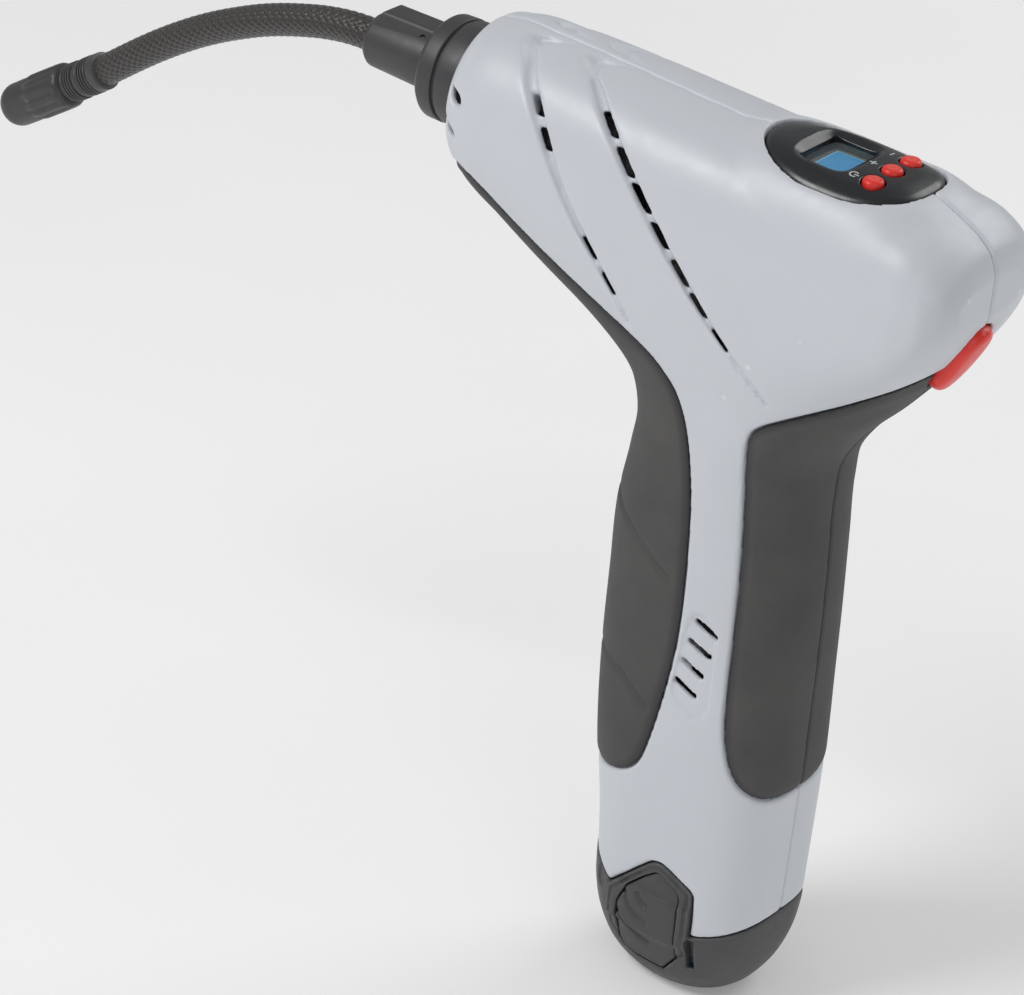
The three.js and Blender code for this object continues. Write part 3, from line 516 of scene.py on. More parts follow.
def wrapped_copper(name):
    """Armature: copper windings between dark iron stacks, ringed along the shaft."""
    nodes = Nodes(name)
    wave = nodes.add("ShaderNodeTexWave", bands_direction="Z")
    wave.inputs["Scale"].default_value = 320
    wave.inputs["Distortion"].default_value = 1.5
    nodes.link(nodes.place, wave.inputs["Vector"])
    base = nodes.ramp(wave.outputs["Fac"], [(0.2, (0.05, 0.03, 0.025)), (0.8, (0.62, 0.24, 0.1))])
    nodes.link(base, nodes.shader.inputs["Base Color"])
    nodes.link(nodes.bump(wave.outputs["Fac"], 0.0002), nodes.shader.inputs["Normal"])
    nodes.link(nodes.spread(nodes.noise(300), 0.3, 0.5), nodes.shader.inputs["Roughness"])
    nodes.shader.inputs["Metallic"].default_value = 0.9
    return nodes.material


def circuit_board(name):
    """Green solder mask over faint copper tracks."""
    nodes = Nodes(name)
    tracks = nodes.add("ShaderNodeTexBrick")
    tracks.inputs["Scale"].default_value = 160
    tracks.inputs["Mortar Size"].default_value = 0.03
    tracks.inputs["Color1"].default_value = (0.01, 0.1, 0.035, 1)
    tracks.inputs["Color2"].default_value = (0.012, 0.12, 0.045, 1)
    tracks.inputs["Mortar"].default_value = (0.03, 0.2, 0.07, 1)
    nodes.link(nodes.place, tracks.inputs["Vector"])
    nodes.link(tracks.outputs["Color"], nodes.shader.inputs["Base Color"])
    nodes.link(nodes.spread(nodes.noise(400), 0.25, 0.4), nodes.shader.inputs["Roughness"])
    nodes.link(nodes.bump(tracks.outputs["Fac"], 0.00003), nodes.shader.inputs["Normal"])
    return nodes.material


def lens_glass(name):
    """Thin clear window: gloss over whatever lies under it."""
    nodes = Nodes(name)
    nodes.link(nodes.ramp(nodes.noise(90), [(0.3, (0.6, 0.75, 0.8)), (0.7, (0.7, 0.8, 0.85))]),
               nodes.shader.inputs["Base Color"])
    nodes.link(nodes.spread(nodes.noise(700), 0.05, 0.09), nodes.shader.inputs["Roughness"])
    nodes.shader.inputs["Alpha"].default_value = 0.06
    return nodes.material


def liquid_crystal(name):
    """The display's blue field, with its faint pixel grid and a little darker blue mottling."""
    nodes = Nodes(name)
    grid = nodes.add("ShaderNodeTexBrick", offset=0)
    grid.inputs["Scale"].default_value = 1600
    grid.inputs["Mortar Size"].default_value = 0.05
    grid.inputs["Brick Width"].default_value = 0.5
    grid.inputs["Row Height"].default_value = 0.5
    grid.inputs["Color1"].default_value = (*linear(0, 116, 166), 1)
    grid.inputs["Color2"].default_value = (*linear(0, 122, 172), 1)
    grid.inputs["Mortar"].default_value = (*linear(0, 96, 142), 1)
    nodes.link(nodes.place, grid.inputs["Vector"])
    base = nodes.mixed(nodes.spread(nodes.noise(70), 0, 0.2), grid.outputs["Color"],
                       linear(0, 104, 150))
    nodes.link(base, nodes.shader.inputs["Base Color"])
    nodes.link(base, nodes.shader.inputs["Emission Color"])
    nodes.shader.inputs["Emission Strength"].default_value = 0.4
    nodes.link(nodes.spread(nodes.noise(500), 0.2, 0.3), nodes.shader.inputs["Roughness"])
    return nodes.material


SHELL = moulded("shell_grey", linear(203, 207, 213), 0.42, mottle=0.015,
                wear=linear(232, 235, 238), Coat_Weight=0.08, Coat_Roughness=0.3)
RUBBER = grip_rubber("grip_rubber")
BLACK = moulded("black_moulding", linear(62, 62, 64), 0.46, wear=linear(118, 118, 120))
FOOT_BLACK = moulded("foot_moulding", linear(68, 68, 70), 0.5, wear=linear(120, 120, 120))
CHUCK_BLACK = moulded("chuck_moulding", linear(58, 57, 58), 0.42, wear=linear(112, 110, 108))
GLOSS = moulded("gloss_panel", linear(26, 29, 32), 0.3, grain=900, depth=0.000006,
                mottle=0.1, Coat_Weight=0.15, Coat_Roughness=0.15)
RED = moulded("red_plastic", linear(228, 50, 42), 0.36, depth=0.00001, mottle=0.05,
              wear=linear(245, 120, 104), Subsurface_Weight=0.08, Subsurface_Scale=0.002)
WHITE = moulded("white_plastic", linear(228, 226, 218), 0.5)
SEAL = moulded("seal_rubber", linear(38, 38, 38), 0.8)
WRAP = moulded("cell_wrap", linear(14, 14, 15), 0.35, wear=linear(120, 170, 215))
PRINT = moulded("printed_mark", linear(190, 194, 196), 0.5)
BRAID = braid_yarn("hose_braid")
STEEL = metal("machined_steel", (0.6, 0.61, 0.62), 0.32)
ALUMINIUM = metal("cast_aluminium", (0.72, 0.73, 0.74), 0.42, (300, 300, 300))
BRASS = metal("turned_brass", (0.75, 0.52, 0.2), 0.28)
COPPER = wrapped_copper("armature_windings")
BOARD = circuit_board("circuit_board")
GLASS = lens_glass("display_window")
BLUE = liquid_crystal("liquid_crystal")
PALE_BLUE = moulded("display_border", linear(120, 190, 214), 0.3)

CAD_FINISH = {
    "housing_screw": STEEL, "display_module": BLACK, "control_board": BOARD,
    "pressure_sensor": BLACK, "power_switch": BLACK, "plus_switch": BLACK,
    "minus_switch": BLACK, "trigger_switch": BLACK, "motor_can": STEEL, "motor_endbell": BLACK,
    "motor_armature": COPPER, "motor_shaft": STEEL, "pinion_gear": STEEL, "crank_gear": WHITE,
    "crank_pin": STEEL, "gear_axle": STEEL, "pump_frame": ALUMINIUM, "cylinder": ALUMINIUM,
    "piston": ALUMINIUM, "piston_ring": SEAL, "wrist_pin": STEEL, "connecting_rod": ALUMINIUM,
    "outlet_elbow": BLACK, "battery_tower": BLACK, "battery_cell": WRAP,
    "battery_contacts": BRASS, "terminal_block": BLACK, "chuck_insert": BRASS,
    "chuck_seal": SEAL, "display_window": GLASS,
}


def finish_cad_nodes():
    """The CAD nodes that stay shown get their node materials."""
    for name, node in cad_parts.items():
        start = max((key for key in CAD_FINISH if name.startswith(key)), key=len, default=None)
        if start is None:
            continue
        node.data.materials.clear()
        node.data.materials.append(CAD_FINISH[start])


# ---- pieces ------------------------------------------------------------------


def piece(name, points, faces, material, body, slot, replaces=(), crease=None):
    """A shown mesh, from corners in millimetres, that rides on a CAD body."""
    mesh = bpy.data.meshes.new(name)
    mesh.from_pydata(((np.asarray(points) + LIFT) * MM).tolist(), [], [list(f) for f in faces])
    mesh.validate()
    mesh.shade_smooth()
    if crease is not None:
        mesh.set_sharp_from_angle(angle=math.radians(crease))
    mesh.materials.append(material)
    made = bpy.data.objects.new(name, mesh)
    bpy.context.scene.collection.objects.link(made)
    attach(made, body)
    if replaces:
        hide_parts(*replaces)
    return made


def point_values(made, name, values):
    attribute = made.data.attributes.new(name, "FLOAT", "POINT")
    attribute.data.foreach_set("value", np.asarray(values, np.float32))


def mirrored(points, faces):
    return points * (1, -1, 1), faces[:, ::-1]


def softened(outline, radius, closed=False, steps=3):
    """The outline with each corner turned into a short curve."""
    corners = [np.array(p, float) for p in outline]
    count = len(corners)
    result = [] if closed else [corners[0]]
    for i in range(0 if closed else 1, count if closed else count - 1):
        before, here, after = corners[i - 1], corners[i], corners[(i + 1) % count]
        back, ahead = before - here, after - here
        reach_back = min(radius, np.linalg.norm(back) * 0.48) / max(np.linalg.norm(back), 1e-9)
        reach_ahead = min(radius, np.linalg.norm(ahead) * 0.48) / max(np.linalg.norm(ahead), 1e-9)
        start, end = here + back * reach_back, here + ahead * reach_ahead
        for k in range(steps + 1):
            t = k / steps
            result.append((1 - t) ** 2 * start + 2 * t * (1 - t) * here + t * t * end)
    return result if closed else [*result, corners[-1]]


def ring_faces(count, sides, hollow=False):
    """Quads between rings of corners, and a cap on each end unless the rings close up."""
    faces = []
    for i in range(count if hollow else count - 1):
        here, after = i * sides, ((i + 1) % count) * sides
        for j in range(sides):
            k = (j + 1) % sides
            faces.append((here + j, after + j, after + k, here + k))
    if not hollow:
        faces.append(tuple(range(sides)))
        faces.append(tuple((count - 1) * sides + j for j in range(sides - 1, -1, -1)))
    return faces


def turned(profile, sides, radius_at=None, hollow=False):
    """Corners and faces of a profile of (along, radius) turned about X."""
    angles = np.arange(sides) * 2 * math.pi / sides
    rings = []
    for along, radius in profile:
        radii = radius + (radius_at(along, angles) if radius_at else 0 * angles)
        radii = np.maximum(radii, 0) if radius > 0.01 else 0 * angles
        rings.append(np.stack([np.full(sides, along), radii * np.cos(angles),
                               radii * np.sin(angles)], 1))
    return np.concatenate(rings), ring_faces(len(rings), sides, hollow)


def outwards(points, faces):
    """The faces, turned over if the solid they close is inside out."""
    volume = 0.0
    for face in faces:
        a = points[face[0]]
        for b, c in zip(face[1:], face[2:]):
            volume += np.dot(a, np.cross(points[b], points[c]))
    return faces if volume > 0 else [tuple(reversed(f)) for f in faces]


# ---- housing and grips -------------------------------------------------------

HOUSING_STEP = 0.6


def housing_fields(grid):
    """The whole body, and the left shell half and its two grips, as fields."""
    x, z = grid.x[:, 0, :], grid.z[:, 0, :]
    body = body_field(grid)
    grips = {"front_grip": outline_distance(FRONT_GRIP, x, z, 2)[:, None, :],
             "rear_grip": outline_distance(REAR_GRIP, x, z, 2)[:, None, :]}
    side = grid.y + SEAM

    skin = body - pod_rise(grid.x, grid.y, grid.z)
    slots = np.full(body.shape, FAR, np.float32)
    for lane in (FRONT_LANE, REAR_LANE):
        depth, openings = lane_recess(grid, lane)
        skin = skin + depth
        slots = np.minimum(slots, openings)
    panel = outline_distance(VENT_PANEL, x, z, 2)[:, None, :]
    skin = skin + 0.6 * (1 - smoothstep(panel, -0.5, 0))
    for start, end in VENT_SLOTS:
        slots = np.minimum(slots, (segment_distance(x, z, start, end) - SLOT_HALF_WIDTH)[:, None, :])
    for leaf in LEAVES:
        edge = outline_distance(leaf, x, z, 2)[:, None, :]
        skin = skin + 0.8 * (1 - smoothstep(edge, -0.8, 0.1))
        slots = np.minimum(slots, edge + 0.7)

    shell = common(skin, side, 0.9)
    shell = cut(shell, body + WALL)
    for x0, z0 in SCREWS:
        boss = common(common(rod_field(grid, x0, z0, BOSS_R), body + 1.9), side)
        boss = cut(boss, np.maximum(rod_field(grid, x0, z0, SCREW_HOLE_R), -9.2 - grid.y))
        shell = join(shell, boss, 0.6)
    shell = cut(shell, np.maximum(slots, grid.y - SLOT_REACH), 0.3)
    shell = common(shell, parting_height(grid.x) + 0.3 - grid.z, 0.9)
    for edge in grips.values():
        shell = cut(shell, np.maximum(edge - GRIP_GAP, -(body + GRIP_SEAT)), 0.5)
    shell = cut(shell, np.maximum(panel_edge(grid.x, grid.y) - 0.3, 214 - grid.z), 0.6)
    out, _ = trigger_place(grid)
    shell = cut(shell, np.maximum(trigger_capsule(grid, 0.6), -7 - out), 0.6)
    latch = outline_distance(LATCH, x, z, 1)[:, None, :]
    shell = cut(shell, np.maximum(latch - 0.4, grid.y + 10), 0.8)
    shell = cut(shell, nose_opening(grid, 11.2), 0.6)

    grip_fields = {}
    for name, edge in grips.items():
        crown = 0.75 * smoothstep(-edge, 0, 3.2) - 0.45
        if name == "front_grip":
            for crease in CREASES:
                line = polyline_distance(x, z, crease)[:, None, :]
                crown = crown - 0.9 * (1 - smoothstep(line, 0, 1.5))
        grip = common(body - crown, side, 0.8)
        grip = cut(grip, body + GRIP)
        grip = common(grip, edge + GRIP_GAP, 0.5)
        grip = common(grip, parting_height(grid.x) + 0.3 - grid.z)
        grip = cut(grip, np.maximum(trigger_capsule(grid, 0.6), -7 - out), 0.4)
        grip_fields[name] = cut(grip, nose_opening(grid, 14))
    return body, shell, grip_fields


def build_housing():
    grid = Grid((-97, -28.2, 15), (57, 0.8, 236), HOUSING_STEP)
    body, shell, grips = housing_fields(grid)
    piece("shell_left", *grid.mesh(shell), SHELL, "housing", "shell", ["left_housing"])
    # the screws go in from the right, so that half has their recesses
    pockets = np.full(shell.shape, FAR, np.float32)
    for x0, z0 in SCREWS:
        wall = np.maximum(rod_field(grid, x0, z0, BOSS_WALL_R), grid.y + 7)
        shell = join(shell, common(wall, body + 0.6), 0.6)
        pocket = np.maximum(rod_field(grid, x0, z0, SCREW_HEAD_R), grid.y + 7.8)
        pockets = np.minimum(pockets, pocket)
    shell = cut(shell, pockets, 0.6)
    points, faces = mirrored(*grid.mesh(shell))
    piece("shell_right", points, faces, SHELL, "housing", "shell", ["right_housing"])

    outlines = {"front_grip": FRONT_GRIP, "rear_grip": REAR_GRIP}
    for name, field in grips.items():
        left = grid.mesh(field)
        for side, (points, faces) in (("left", left), ("right", mirrored(*left))):
            made = piece(f"{name}_{side}_rubber", points, faces, RUBBER, "housing", "rubber",
                         [f"{name}_{side}"])
            edge = outline_distance(outlines[name], points[:, 0], points[:, 2], 2)
            # depth inside the grip's outline; the rubber material uses it to paint shade on the
            # bevelled border
            point_values(made, "border", -edge)


# ---- battery foot and latches ------------------------------------------------


def foot_surface(grid):
    loft = grid.true_distance(section(grid.z, grid.x, grid.y, FOOT))
    return common(loft, -FOOT_DEPTH - grid.z, 0.6)


def build_battery():
    grid = Grid((-32, -25.5, -4), (27, 25.5, 40), 0.45)
    x, z = grid.x[:, 0, :], grid.z[:, 0, :]
    handle = grid.true_distance(section(grid.z, grid.x, grid.y, HANDLE))
    below = common(foot_surface(grid), grid.z - parting_height(grid.x), 0.7)
    skin = join(np.maximum(foot_surface(grid), grid.z - 26), np.maximum(handle, 16 - grid.z), 4)
    latch = outline_distance(LATCH, x, z, 1)[:, None, :]
    button = outline_distance(LATCH_BUTTON, x, z, 1)[:, None, :]
    ears = common(common(skin, latch, 0.9), np.maximum(12 - grid.z, 17 - np.abs(grid.y)))
    foot = join(below, ears, 0.3)
    # a groove runs round the latch, and a pocket holds its button
    foot = cut(foot, np.maximum(np.abs(latch + 1.3) - 0.3, -(skin + 0.6)), 0.5)
    foot = cut(foot, np.maximum(button - 0.15, -(skin + 3.1)), 0.4)
    for (half_x, half_y), floor in ((TOWER_HALF, 19.8), (CELL_WELL_HALF, 6)):
        share = (np.abs(grid.x - BATTERY_X) / half_x) ** WELL_POWER
        share = (share + (np.abs(grid.y) / half_y) ** WELL_POWER) ** (1 / WELL_POWER)
        foot = cut(foot, np.maximum((share - 1) * half_y, floor - grid.z))
    gap = np.maximum(np.abs(grid.x - FOOT_SLOT["x"]) - FOOT_SLOT["half_x"],
                     np.abs(grid.z - FOOT_SLOT["z"]) - FOOT_SLOT["half_z"])
    foot = cut(foot, np.maximum(gap, -(skin + 2.6)), 0.4)
    notch = outline_distance(FOOT_NOTCH, x, z, 1)[:, None, :]
    foot = cut(foot, np.maximum(notch, -(skin + 1.4)), 0.4)
    piece("foot_shell", *grid.mesh(foot), FOOT_BLACK, "battery", "battery_plastic",
          ["battery_foot"])

    arcs = np.full((x.size, z.size), FAR)
    for centre, radius in LATCH_ARCS:
        away = np.hypot(x - centre[0], z - centre[1])
        angle = np.degrees(np.arctan2(z - centre[1], x - centre[0]))
        ends = np.maximum(-168 - angle, angle + 96) * math.pi / 180 * radius
        arcs = np.minimum(arcs, np.maximum(np.abs(away - radius) - 0.5, ends))
    ridge = 0.7 * (1 - smoothstep(arcs[:, None, :], -0.2, 0.5))
    rim = 0.35 * (1 - smoothstep(np.abs(button + 1.1), 0.2, 0.8)) * smoothstep(14 - grid.z, 0, 6)
    latch_skin = skin + 0.45 - 0.35 * smoothstep(-button, 0, 2.5) - rim + ridge
    latch_body = common(common(latch_skin, -(skin + 1.5)), button + 0.15, 0.4)
    latch_body = np.maximum(latch_body, grid.y + 8)
    points, faces = grid.mesh(latch_body)
    piece("latch_button_left", points, faces, FOOT_BLACK, "latch_left_body", "battery_plastic",
          ["latch_left"])
    piece("latch_button_right", *mirrored(points, faces), FOOT_BLACK, "latch_right_body",
          "battery_plastic", ["latch_right"])


# ---- nose, hose and chuck ----------------------------------------------------


def build_nose():
    face = COLLAR_FRONT
    profile = softened([
        (face, 6.4), (face, COLLAR_R - 1.3), (face + 1.3, COLLAR_R - 0.1), (face + 5.4, COLLAR_R),
        (face + 5.6, COLLAR_R - 1), (face + 6.4, COLLAR_R - 1), (face + 6.6, COLLAR_R - 0.1),
        (-93.9, COLLAR_R - 0.1), (-93.9, 10.7), (-90.6, 10.7), (-90.6, 13.2), (-89, 13.2),
        (-89, 2.6), (-95, 2.6), (-95, 6.4),
    ], 0.35, closed=True)

    def ribs(along, angles):
        band = smoothstep(along, face + 7.6, face + 8) * (1 - smoothstep(along, -95.2, -94.8))
        return -0.28 * band * (0.5 + 0.5 * np.cos(angles * 60)) if along < -93.95 else 0 * angles
    points, faces = turned(profile, 240, ribs, hollow=True)
    points = points + (0, 0, NOSE_Z)
    piece("collar", points, outwards(points, faces), BLACK, "housing", "black_plastic",
          ["nose_collar"], crease=50)

    front = CONNECTOR_FRONT
    profile = softened([
        (front, 2), (front, CONNECTOR_R - 1.4), (front + 1.4, CONNECTOR_R - 0.3),
        (-107, CONNECTOR_R + 0.5), (-107, 6.1), (-95.4, 6.1), (-95.4, 2),
    ], 0.4, closed=True)
    points, faces = turned(profile, 96, hollow=True)
    points = points + (0, 0, NOSE_Z)
    piece("connector", points, outwards(points, faces), BLACK, "housing", "black_plastic",
          ["hose_connector"], crease=50)
    # the lug on top of the connector, from its front to the collar, with a small hole near the end
    grid = Grid((-128.5, -8, 214), (-105.5, 8, 223), 0.3)
    rise = np.clip((grid.x + 127.2) * 1.7, 0, 6)
    lug = np.maximum(np.abs(grid.y) - 5.2 + (grid.z - 216) * 0.3, grid.z - 216.2 - rise)
    lug = common(lug, -127.2 - grid.x, 0.8)
    lug = common(lug, grid.x + 107.2, 0.8)
    lug = common(lug, 216 - grid.z)
    lug = common(lug, grid.z - 221.3, 1)
    hole = np.hypot(grid.x + 111, grid.z - 218.4) - 1
    lug = cut(lug, hole, 0.3)
    piece("connector_lug", *grid.mesh(lug), BLACK, "housing", "black_plastic")


def hose_line(samples):
    """Evenly spaced points and directions along the hose's centre line, in millimetres."""
    route = np.array(HOSE_ROUTE) / MM
    knots = np.arange(len(route))
    fine = np.linspace(0, len(route) - 1, 2000)
    line = np.stack([smooth_curve(knots, route[:, k], fine) for k in (0, 1)], 1)
    steps = np.concatenate([[0], np.cumsum(np.linalg.norm(np.diff(line, axis=0), axis=1))])
    along = np.linspace(0, steps[-1], samples)
    points = np.stack([np.interp(along, steps, line[:, k]) for k in (0, 1)], 1)
    ways = np.gradient(points, along, axis=0)
    return along, points, ways / np.linalg.norm(ways, axis=1)[:, None]


def build_hose(relief):
    carriers = 14
    sides, samples = ((168, 420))
    along, points, ways = hose_line(samples)
    angles = np.arange(sides) * 2 * math.pi / sides
    pitch = math.pi * HOSE_DIAMETER / MM / carriers
    first = carriers * angles[None, :] / (2 * math.pi) + along[:, None] / pitch / 1.25
    second = carriers * angles[None, :] / (2 * math.pi) - along[:, None] / pitch / 1.25
    over = np.sin(math.pi * first) * np.sin(math.pi * second)

    def strand(phase):
        away = np.abs(phase - np.floor(phase) - 0.5) * 2 / 0.86
        return np.sqrt(np.maximum(1 - away ** 2, 0))
    height = np.maximum(strand(first) * (0.72 + 0.28 * over), strand(second) * (0.72 - 0.28 * over))
    radii = HOSE_DIAMETER / MM / 2 - 0.34 + 0.34 * height
    across = np.stack([-ways[:, 1], ways[:, 0]], 1)
    rise, aside = radii * np.cos(angles), radii * np.sin(angles)
    x = points[:, :1] + across[:, :1] * rise
    z = points[:, 1:] + across[:, 1:] * rise
    corners = np.stack([x, aside, z], 2).reshape(-1, 3)
    faces = outwards(corners, ring_faces(samples, sides))
    hose = piece("braided_hose", corners, faces, BRAID, "housing", "braid", ["hose"])
    # strand height, which the braid material turns into painted shade between the strands
    point_values(hose, "strand", height.ravel())


def on_chuck(points):
    """From the chuck's own axis, along -X from the end of the hose, to its place."""
    drop = math.radians(CHUCK_DROP)
    x = points[:, 0] * math.cos(drop) - points[:, 2] * math.sin(drop)
    z = points[:, 0] * math.sin(drop) + points[:, 2] * math.cos(drop)
    end = np.array(HOSE_ROUTE[-1]) / MM
    return np.stack([x + end[0], points[:, 1], z + end[1]], 1)


def build_chuck():
    relief = [(0.4, 0.0), (0.4, 5.1), (-2.2, 5.1), (-2.4, 4.6)]
    for i in range(4):
        start = -2.7 - 0.95 * i
        relief += [(start, 5.2), (start - 0.45, 5.2), (start - 0.55, 4.5), (start - 0.85, 4.5)]
    relief += [(-6.7, 4.9), (-8.2, 4.9)]
    for i in range(4):
        start = -8.4 - 0.95 * i
        relief += [(start, 4.5), (start - 0.2, 5.25), (start - 0.65, 5.25), (start - 0.8, 4.5)]
    relief += [(-12.4, 4.9), (-13, 4.9), (-13, 0.0)]
    points, faces = turned(softened(relief, 0.18, steps=2), 64)
    points = on_chuck(points)
    bend = piece("bend_relief_rings", points, outwards(points, faces), CHUCK_BLACK, "housing",
                 "black_plastic", ["bend_relief"], crease=40)

    profile = softened([
        (-13.3, 0.0), (-13.3, 5.2), (-14.6, 6.2), (-17, 6.35), (-25.6, 6.35), (-27.4, 5.95),
        (-30, 5.95), (-35.2, 5.9), (-37, 5.2), (-37, 4.8), (-20, 4.8), (-20, 0.0),
    ], 0.8)

    def scallops(along, angles):
        band = smoothstep(-along, 14, 16) * (1 - smoothstep(-along, 25.6, 28.6))
        return -0.5 * band * (0.5 + 0.5 * np.cos(angles * 12)) ** 2
    fine = []
    for a, b in zip(profile, profile[1:]):
        parts = max(1, int(abs(a[0] - b[0]) / 0.8))
        fine += [a + (b - a) * k / parts for k in range(parts)]
    fine.append(profile[-1])
    points, faces = turned(fine, 120, scallops)
    # the scallops are only outside, so the bore gets its own radius back
    reach = np.hypot(points[:, 1], points[:, 2])
    bore = (reach > 3.5) & (reach < 4.95)
    points[bore, 1:] *= (4.8 / reach[bore])[:, None]
    points = on_chuck(points)
    sleeve = piece("chuck_grip", points, outwards(points, faces), CHUCK_BLACK, "chuck",
                   "black_plastic", ["chuck_sleeve"], crease=45)
    return [bend, sleeve, "chuck_insert", "chuck_seal"]


# ---- control panel, buttons and trigger --------------------------------------


def panel_top(x, y):
    """Height of the panel's glossy top."""
    places = [s[0] for s in HEAD]
    low, high, half, power = (smooth_curve(places, [s[k] for s in HEAD], x) for k in (1, 2, 3, 4))
    share = (1 - np.minimum(np.abs(y) / half, 1) ** power) ** (1 / power)
    return (low + high) / 2 + (high - low) / 2 * share + PANEL["proud"]


def build_panel():
    grid = Grid((-13.5, -18.5, 219), (37.5, 18.5, 234), 0.3)
    edge = panel_edge(grid.x, grid.y)
    top = grid.z - panel_top(grid.x, grid.y) + 0.9 * smoothstep(edge, -5, 0.5)
    scoop = ((np.abs(grid.x - WINDOW["x"]) / 8.4) ** 4 + (np.abs(grid.y) / 10.2) ** 4) ** 0.25
    top = top + 1.5 * (1 - smoothstep(scoop, 0.72, 1.05))
    panel = common(common(top, edge, 1.6), -(top + 2.6))
    window = np.maximum(np.abs(grid.x - WINDOW["x"]) - WINDOW["half_x"],
                        np.abs(grid.y) - WINDOW["half_y"])
    panel = cut(panel, window, 0.3)
    for step in (-1, 0, 1):
        around = np.hypot(grid.x - BUTTON["x"], grid.y - step * BUTTON["pitch"])
        panel = cut(panel, around - BUTTON["radius"] - 0.35, 0.5)
    piece("panel_face", *grid.mesh(panel), GLOSS, "housing", "gloss_panel", ["control_panel"])


def flat_piece(name, outline, top, thick, material, slot, replaces=()):
    """A thin plate whose top follows a height given in plan."""
    outline = np.array(outline, float)
    count = len(outline)
    heights = np.array([top(px, py) for px, py in outline])
    upper = np.column_stack([outline, heights])
    lower = np.column_stack([outline, heights - thick])
    points = np.concatenate([upper, lower])
    faces = [tuple(range(count)), tuple(2 * count - 1 - i for i in range(count))]
    faces += [(i, i + count, (i + 1) % count + count, (i + 1) % count) for i in range(count)]
    return piece(name, points, outwards(points, faces), material, "housing", slot, replaces,
                 crease=40)


def rounded_box(cx, cy, half_x, half_y, radius):
    corners = [(cx - half_x, cy - half_y), (cx + half_x, cy - half_y), (cx + half_x, cy + half_y),
               (cx - half_x, cy + half_y)]
    return softened(corners, radius, closed=True, steps=4)


def strip(line, half_width):
    """Plan outline of a stroke along a line."""
    line = np.array(line, float)
    ways = np.gradient(line, axis=0)
    ways /= np.linalg.norm(ways, axis=1)[:, None]
    aside = np.column_stack([-ways[:, 1], ways[:, 0]]) * half_width
    return np.concatenate([line + aside, (line - aside)[::-1]])


def build_display():
    glass_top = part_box("display_window")[1].z / MM - FOOT_DEPTH
    level = glass_top - 1.25

    def flat(height):
        return lambda x, y: height
    flat_piece("display_border", rounded_box(WINDOW["x"] + 0.3, 0, 4.3, 5.9, 0.5),
               flat(level - 0.03), 0.12, PALE_BLUE, "display")
    flat_piece("display_field", rounded_box(WINDOW["x"] + 0.3, 0, 3.9, 5.5, 0.3), flat(level), 0.12,
               BLUE, "display")


def build_marks():
    """Generic key symbols: power, plus and minus."""
    def on_panel(x, y):
        return panel_top(np.float64(x), y) + 0.03
    x = BUTTON["x"] - 5.2
    arc = [(x - 1.0 * math.cos(a), -8.2 + 1.0 * math.sin(a)) for a in np.linspace(-2.4, 2.4, 20)]
    flat_piece("mark_power_ring", strip(arc, 0.17), on_panel, 0.2, PRINT, "gloss_panel")
    flat_piece("mark_power_bar", strip([(x + 0.1, -8.2), (x + 0.7, -8.2), (x + 1.35, -8.2)], 0.17),
               on_panel, 0.2, PRINT, "gloss_panel")
    for name, y, both in (("plus", 0, True), ("minus", BUTTON["pitch"], False)):
        flat_piece(f"mark_{name}_across", strip([(x, y - 1), (x, y), (x, y + 1)], 0.19), on_panel,
                   0.2, PRINT, "gloss_panel")
        if both:
            for part, (start, end) in (("front", (-1, -0.19)), ("rear", (0.19, 1))):
                line = [(x + start, y), (x + (start + end) / 2, y), (x + end, y)]
                flat_piece(f"mark_{name}_{part}", strip(line, 0.19), on_panel, 0.2, PRINT,
                           "gloss_panel")


def build_buttons():
    for name, step in (("power", -1), ("plus", 0), ("minus", 1)):
        y = step * BUTTON["pitch"]
        low, high = (corner.z / MM - FOOT_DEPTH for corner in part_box(f"{name}_button"))
        top = float(panel_top(np.float64(BUTTON["x"]), y)) + 0.8
        radius = BUTTON["radius"]
        profile = [(low, 0.0), (low, 1.4), (223.5, 1.4), (223.5, 3.4), (224.6, 3.4),
                   (224.6, radius), (top - 1.1, radius)]
        profile += [(top - 1.1 + 1.1 * math.sin(a), radius - 0.9 + 0.9 * math.cos(a))
                    for a in np.linspace(0.2, 1.5, 8)]
        profile += [(top + 0.08, radius * 0.4), (top + 0.1, 0.0)]
        points, faces = turned(profile, 48)
        upright = np.column_stack([points[:, 2] + BUTTON["x"], points[:, 1] + y, points[:, 0]])
        piece(f"key_{name}", upright, outwards(upright, faces), RED, f"{name}_key", "red_plastic",
              [f"{name}_button"], crease=40)


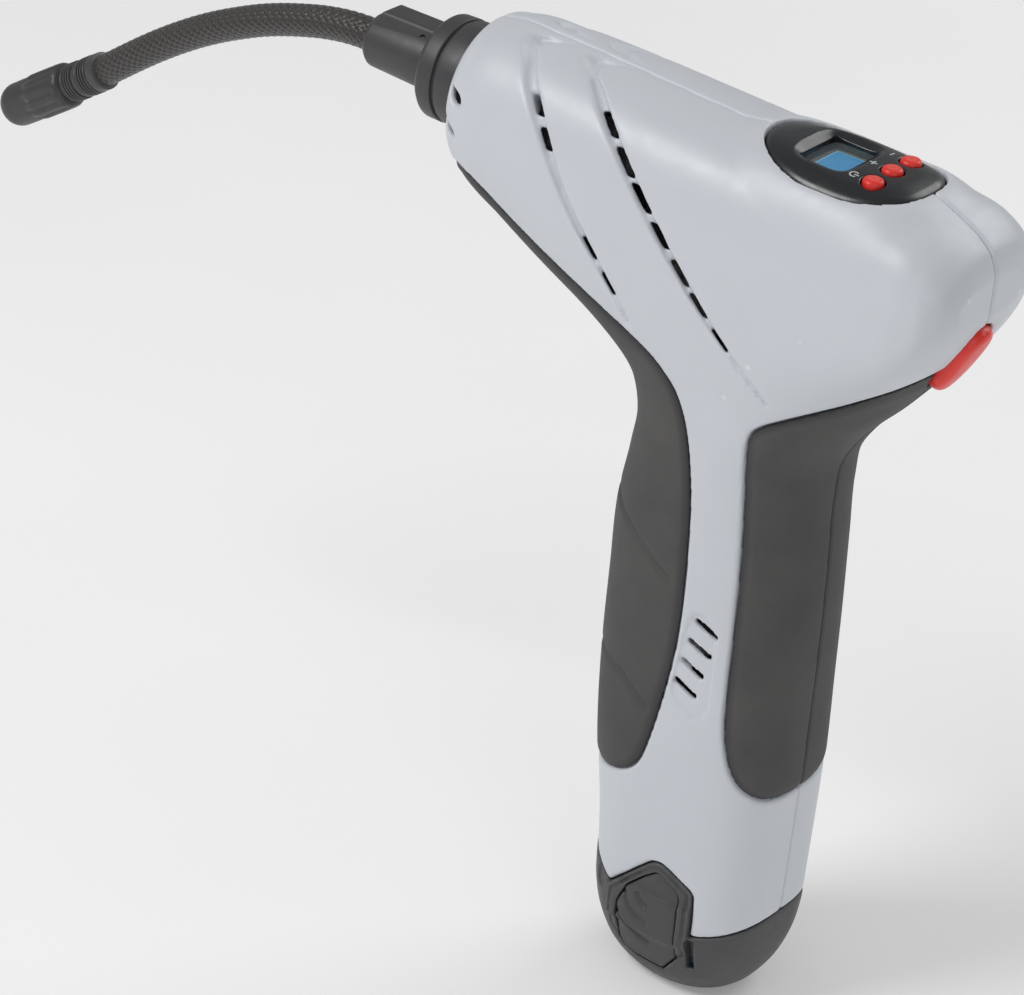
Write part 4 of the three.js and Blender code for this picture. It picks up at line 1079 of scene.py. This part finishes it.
def build_trigger():
    grid = Grid((30, -7, 176), (60, 7, 210), 0.4)
    out, up = trigger_place(grid)
    cap = trigger_capsule(grid, 0)
    crown = out - 6.6 + 0.006 * up * up + 0.02 * grid.y ** 2
    cap = common(cap, crown, 2.4)
    cap = common(cap, -4.4 - out)
    stem = np.maximum(np.maximum(np.abs(grid.y) - 2.2, np.abs(up) - 2.6), np.abs(out + 5.8) - 2)
    lip = common(trigger_capsule(grid, -0.1), np.abs(out + 3.6) - 0.7, 0.3)
    cap = join(join(cap, stem), lip)
    piece("trigger_cap", *grid.mesh(cap), RED, "trigger", "red_plastic", ["trigger_button"])


# ---- surroundings ------------------------------------------------------------


def build_floor():
    mesh = bpy.data.meshes.new("floor")
    mesh.from_pydata([(-6, -6, 0), (6, -6, 0), (6, 6, 0), (-6, 6, 0)], [], [(0, 1, 2, 3)])
    nodes = Nodes("pale_floor")
    nodes.link(nodes.ramp(nodes.noise(3), [(0.3, (0.86, 0.86, 0.86)), (0.7, (0.9, 0.9, 0.9))]),
               nodes.shader.inputs["Base Color"])
    nodes.shader.inputs["Roughness"].default_value = 0.9
    nodes.shader.inputs["Emission Color"].default_value = (1, 1, 1, 1)
    nodes.shader.inputs["Emission Strength"].default_value = 0.14
    mesh.materials.append(nodes.material)
    floor = bpy.data.objects.new("floor", mesh)
    bpy.context.scene.collection.objects.link(floor)


def area_light(name, place, aim, size, power):
    data = bpy.data.lights.new(name, "AREA")
    data.shape, data.size, data.energy = "DISK", size, power
    light = bpy.data.objects.new(name, data)
    bpy.context.scene.collection.objects.link(light)
    facing = (Vector(aim) - Vector(place)).to_track_quat("-Z", "Y")
    light.matrix_world = Matrix.Translation(place) @ facing.to_matrix().to_4x4()


def build_studio():
    world = bpy.data.worlds.new("studio")
    bpy.context.scene.world = world
    world.use_nodes = True
    background = world.node_tree.nodes["Background"]
    background.inputs["Color"].default_value = (1, 1, 1, 1)
    background.inputs["Strength"].default_value = 0.33
    middle = (-0.05, 0, 0.15)
    area_light("key", (-0.7, -0.9, 1.3), middle, 0.7, 12)
    area_light("fill", (1.3, -0.9, 0.7), middle, 1.0, 3.6)
    area_light("back", (0.3, 1.2, 1.0), middle, 0.9, 6)
    bpy.context.scene.view_settings.view_transform = "Standard"


build_hose(build_chuck())
build_nose()
build_housing()
build_battery()
build_panel()
build_display()
build_marks()
build_buttons()
build_trigger()
finish_cad_nodes()
build_floor()
build_studio()
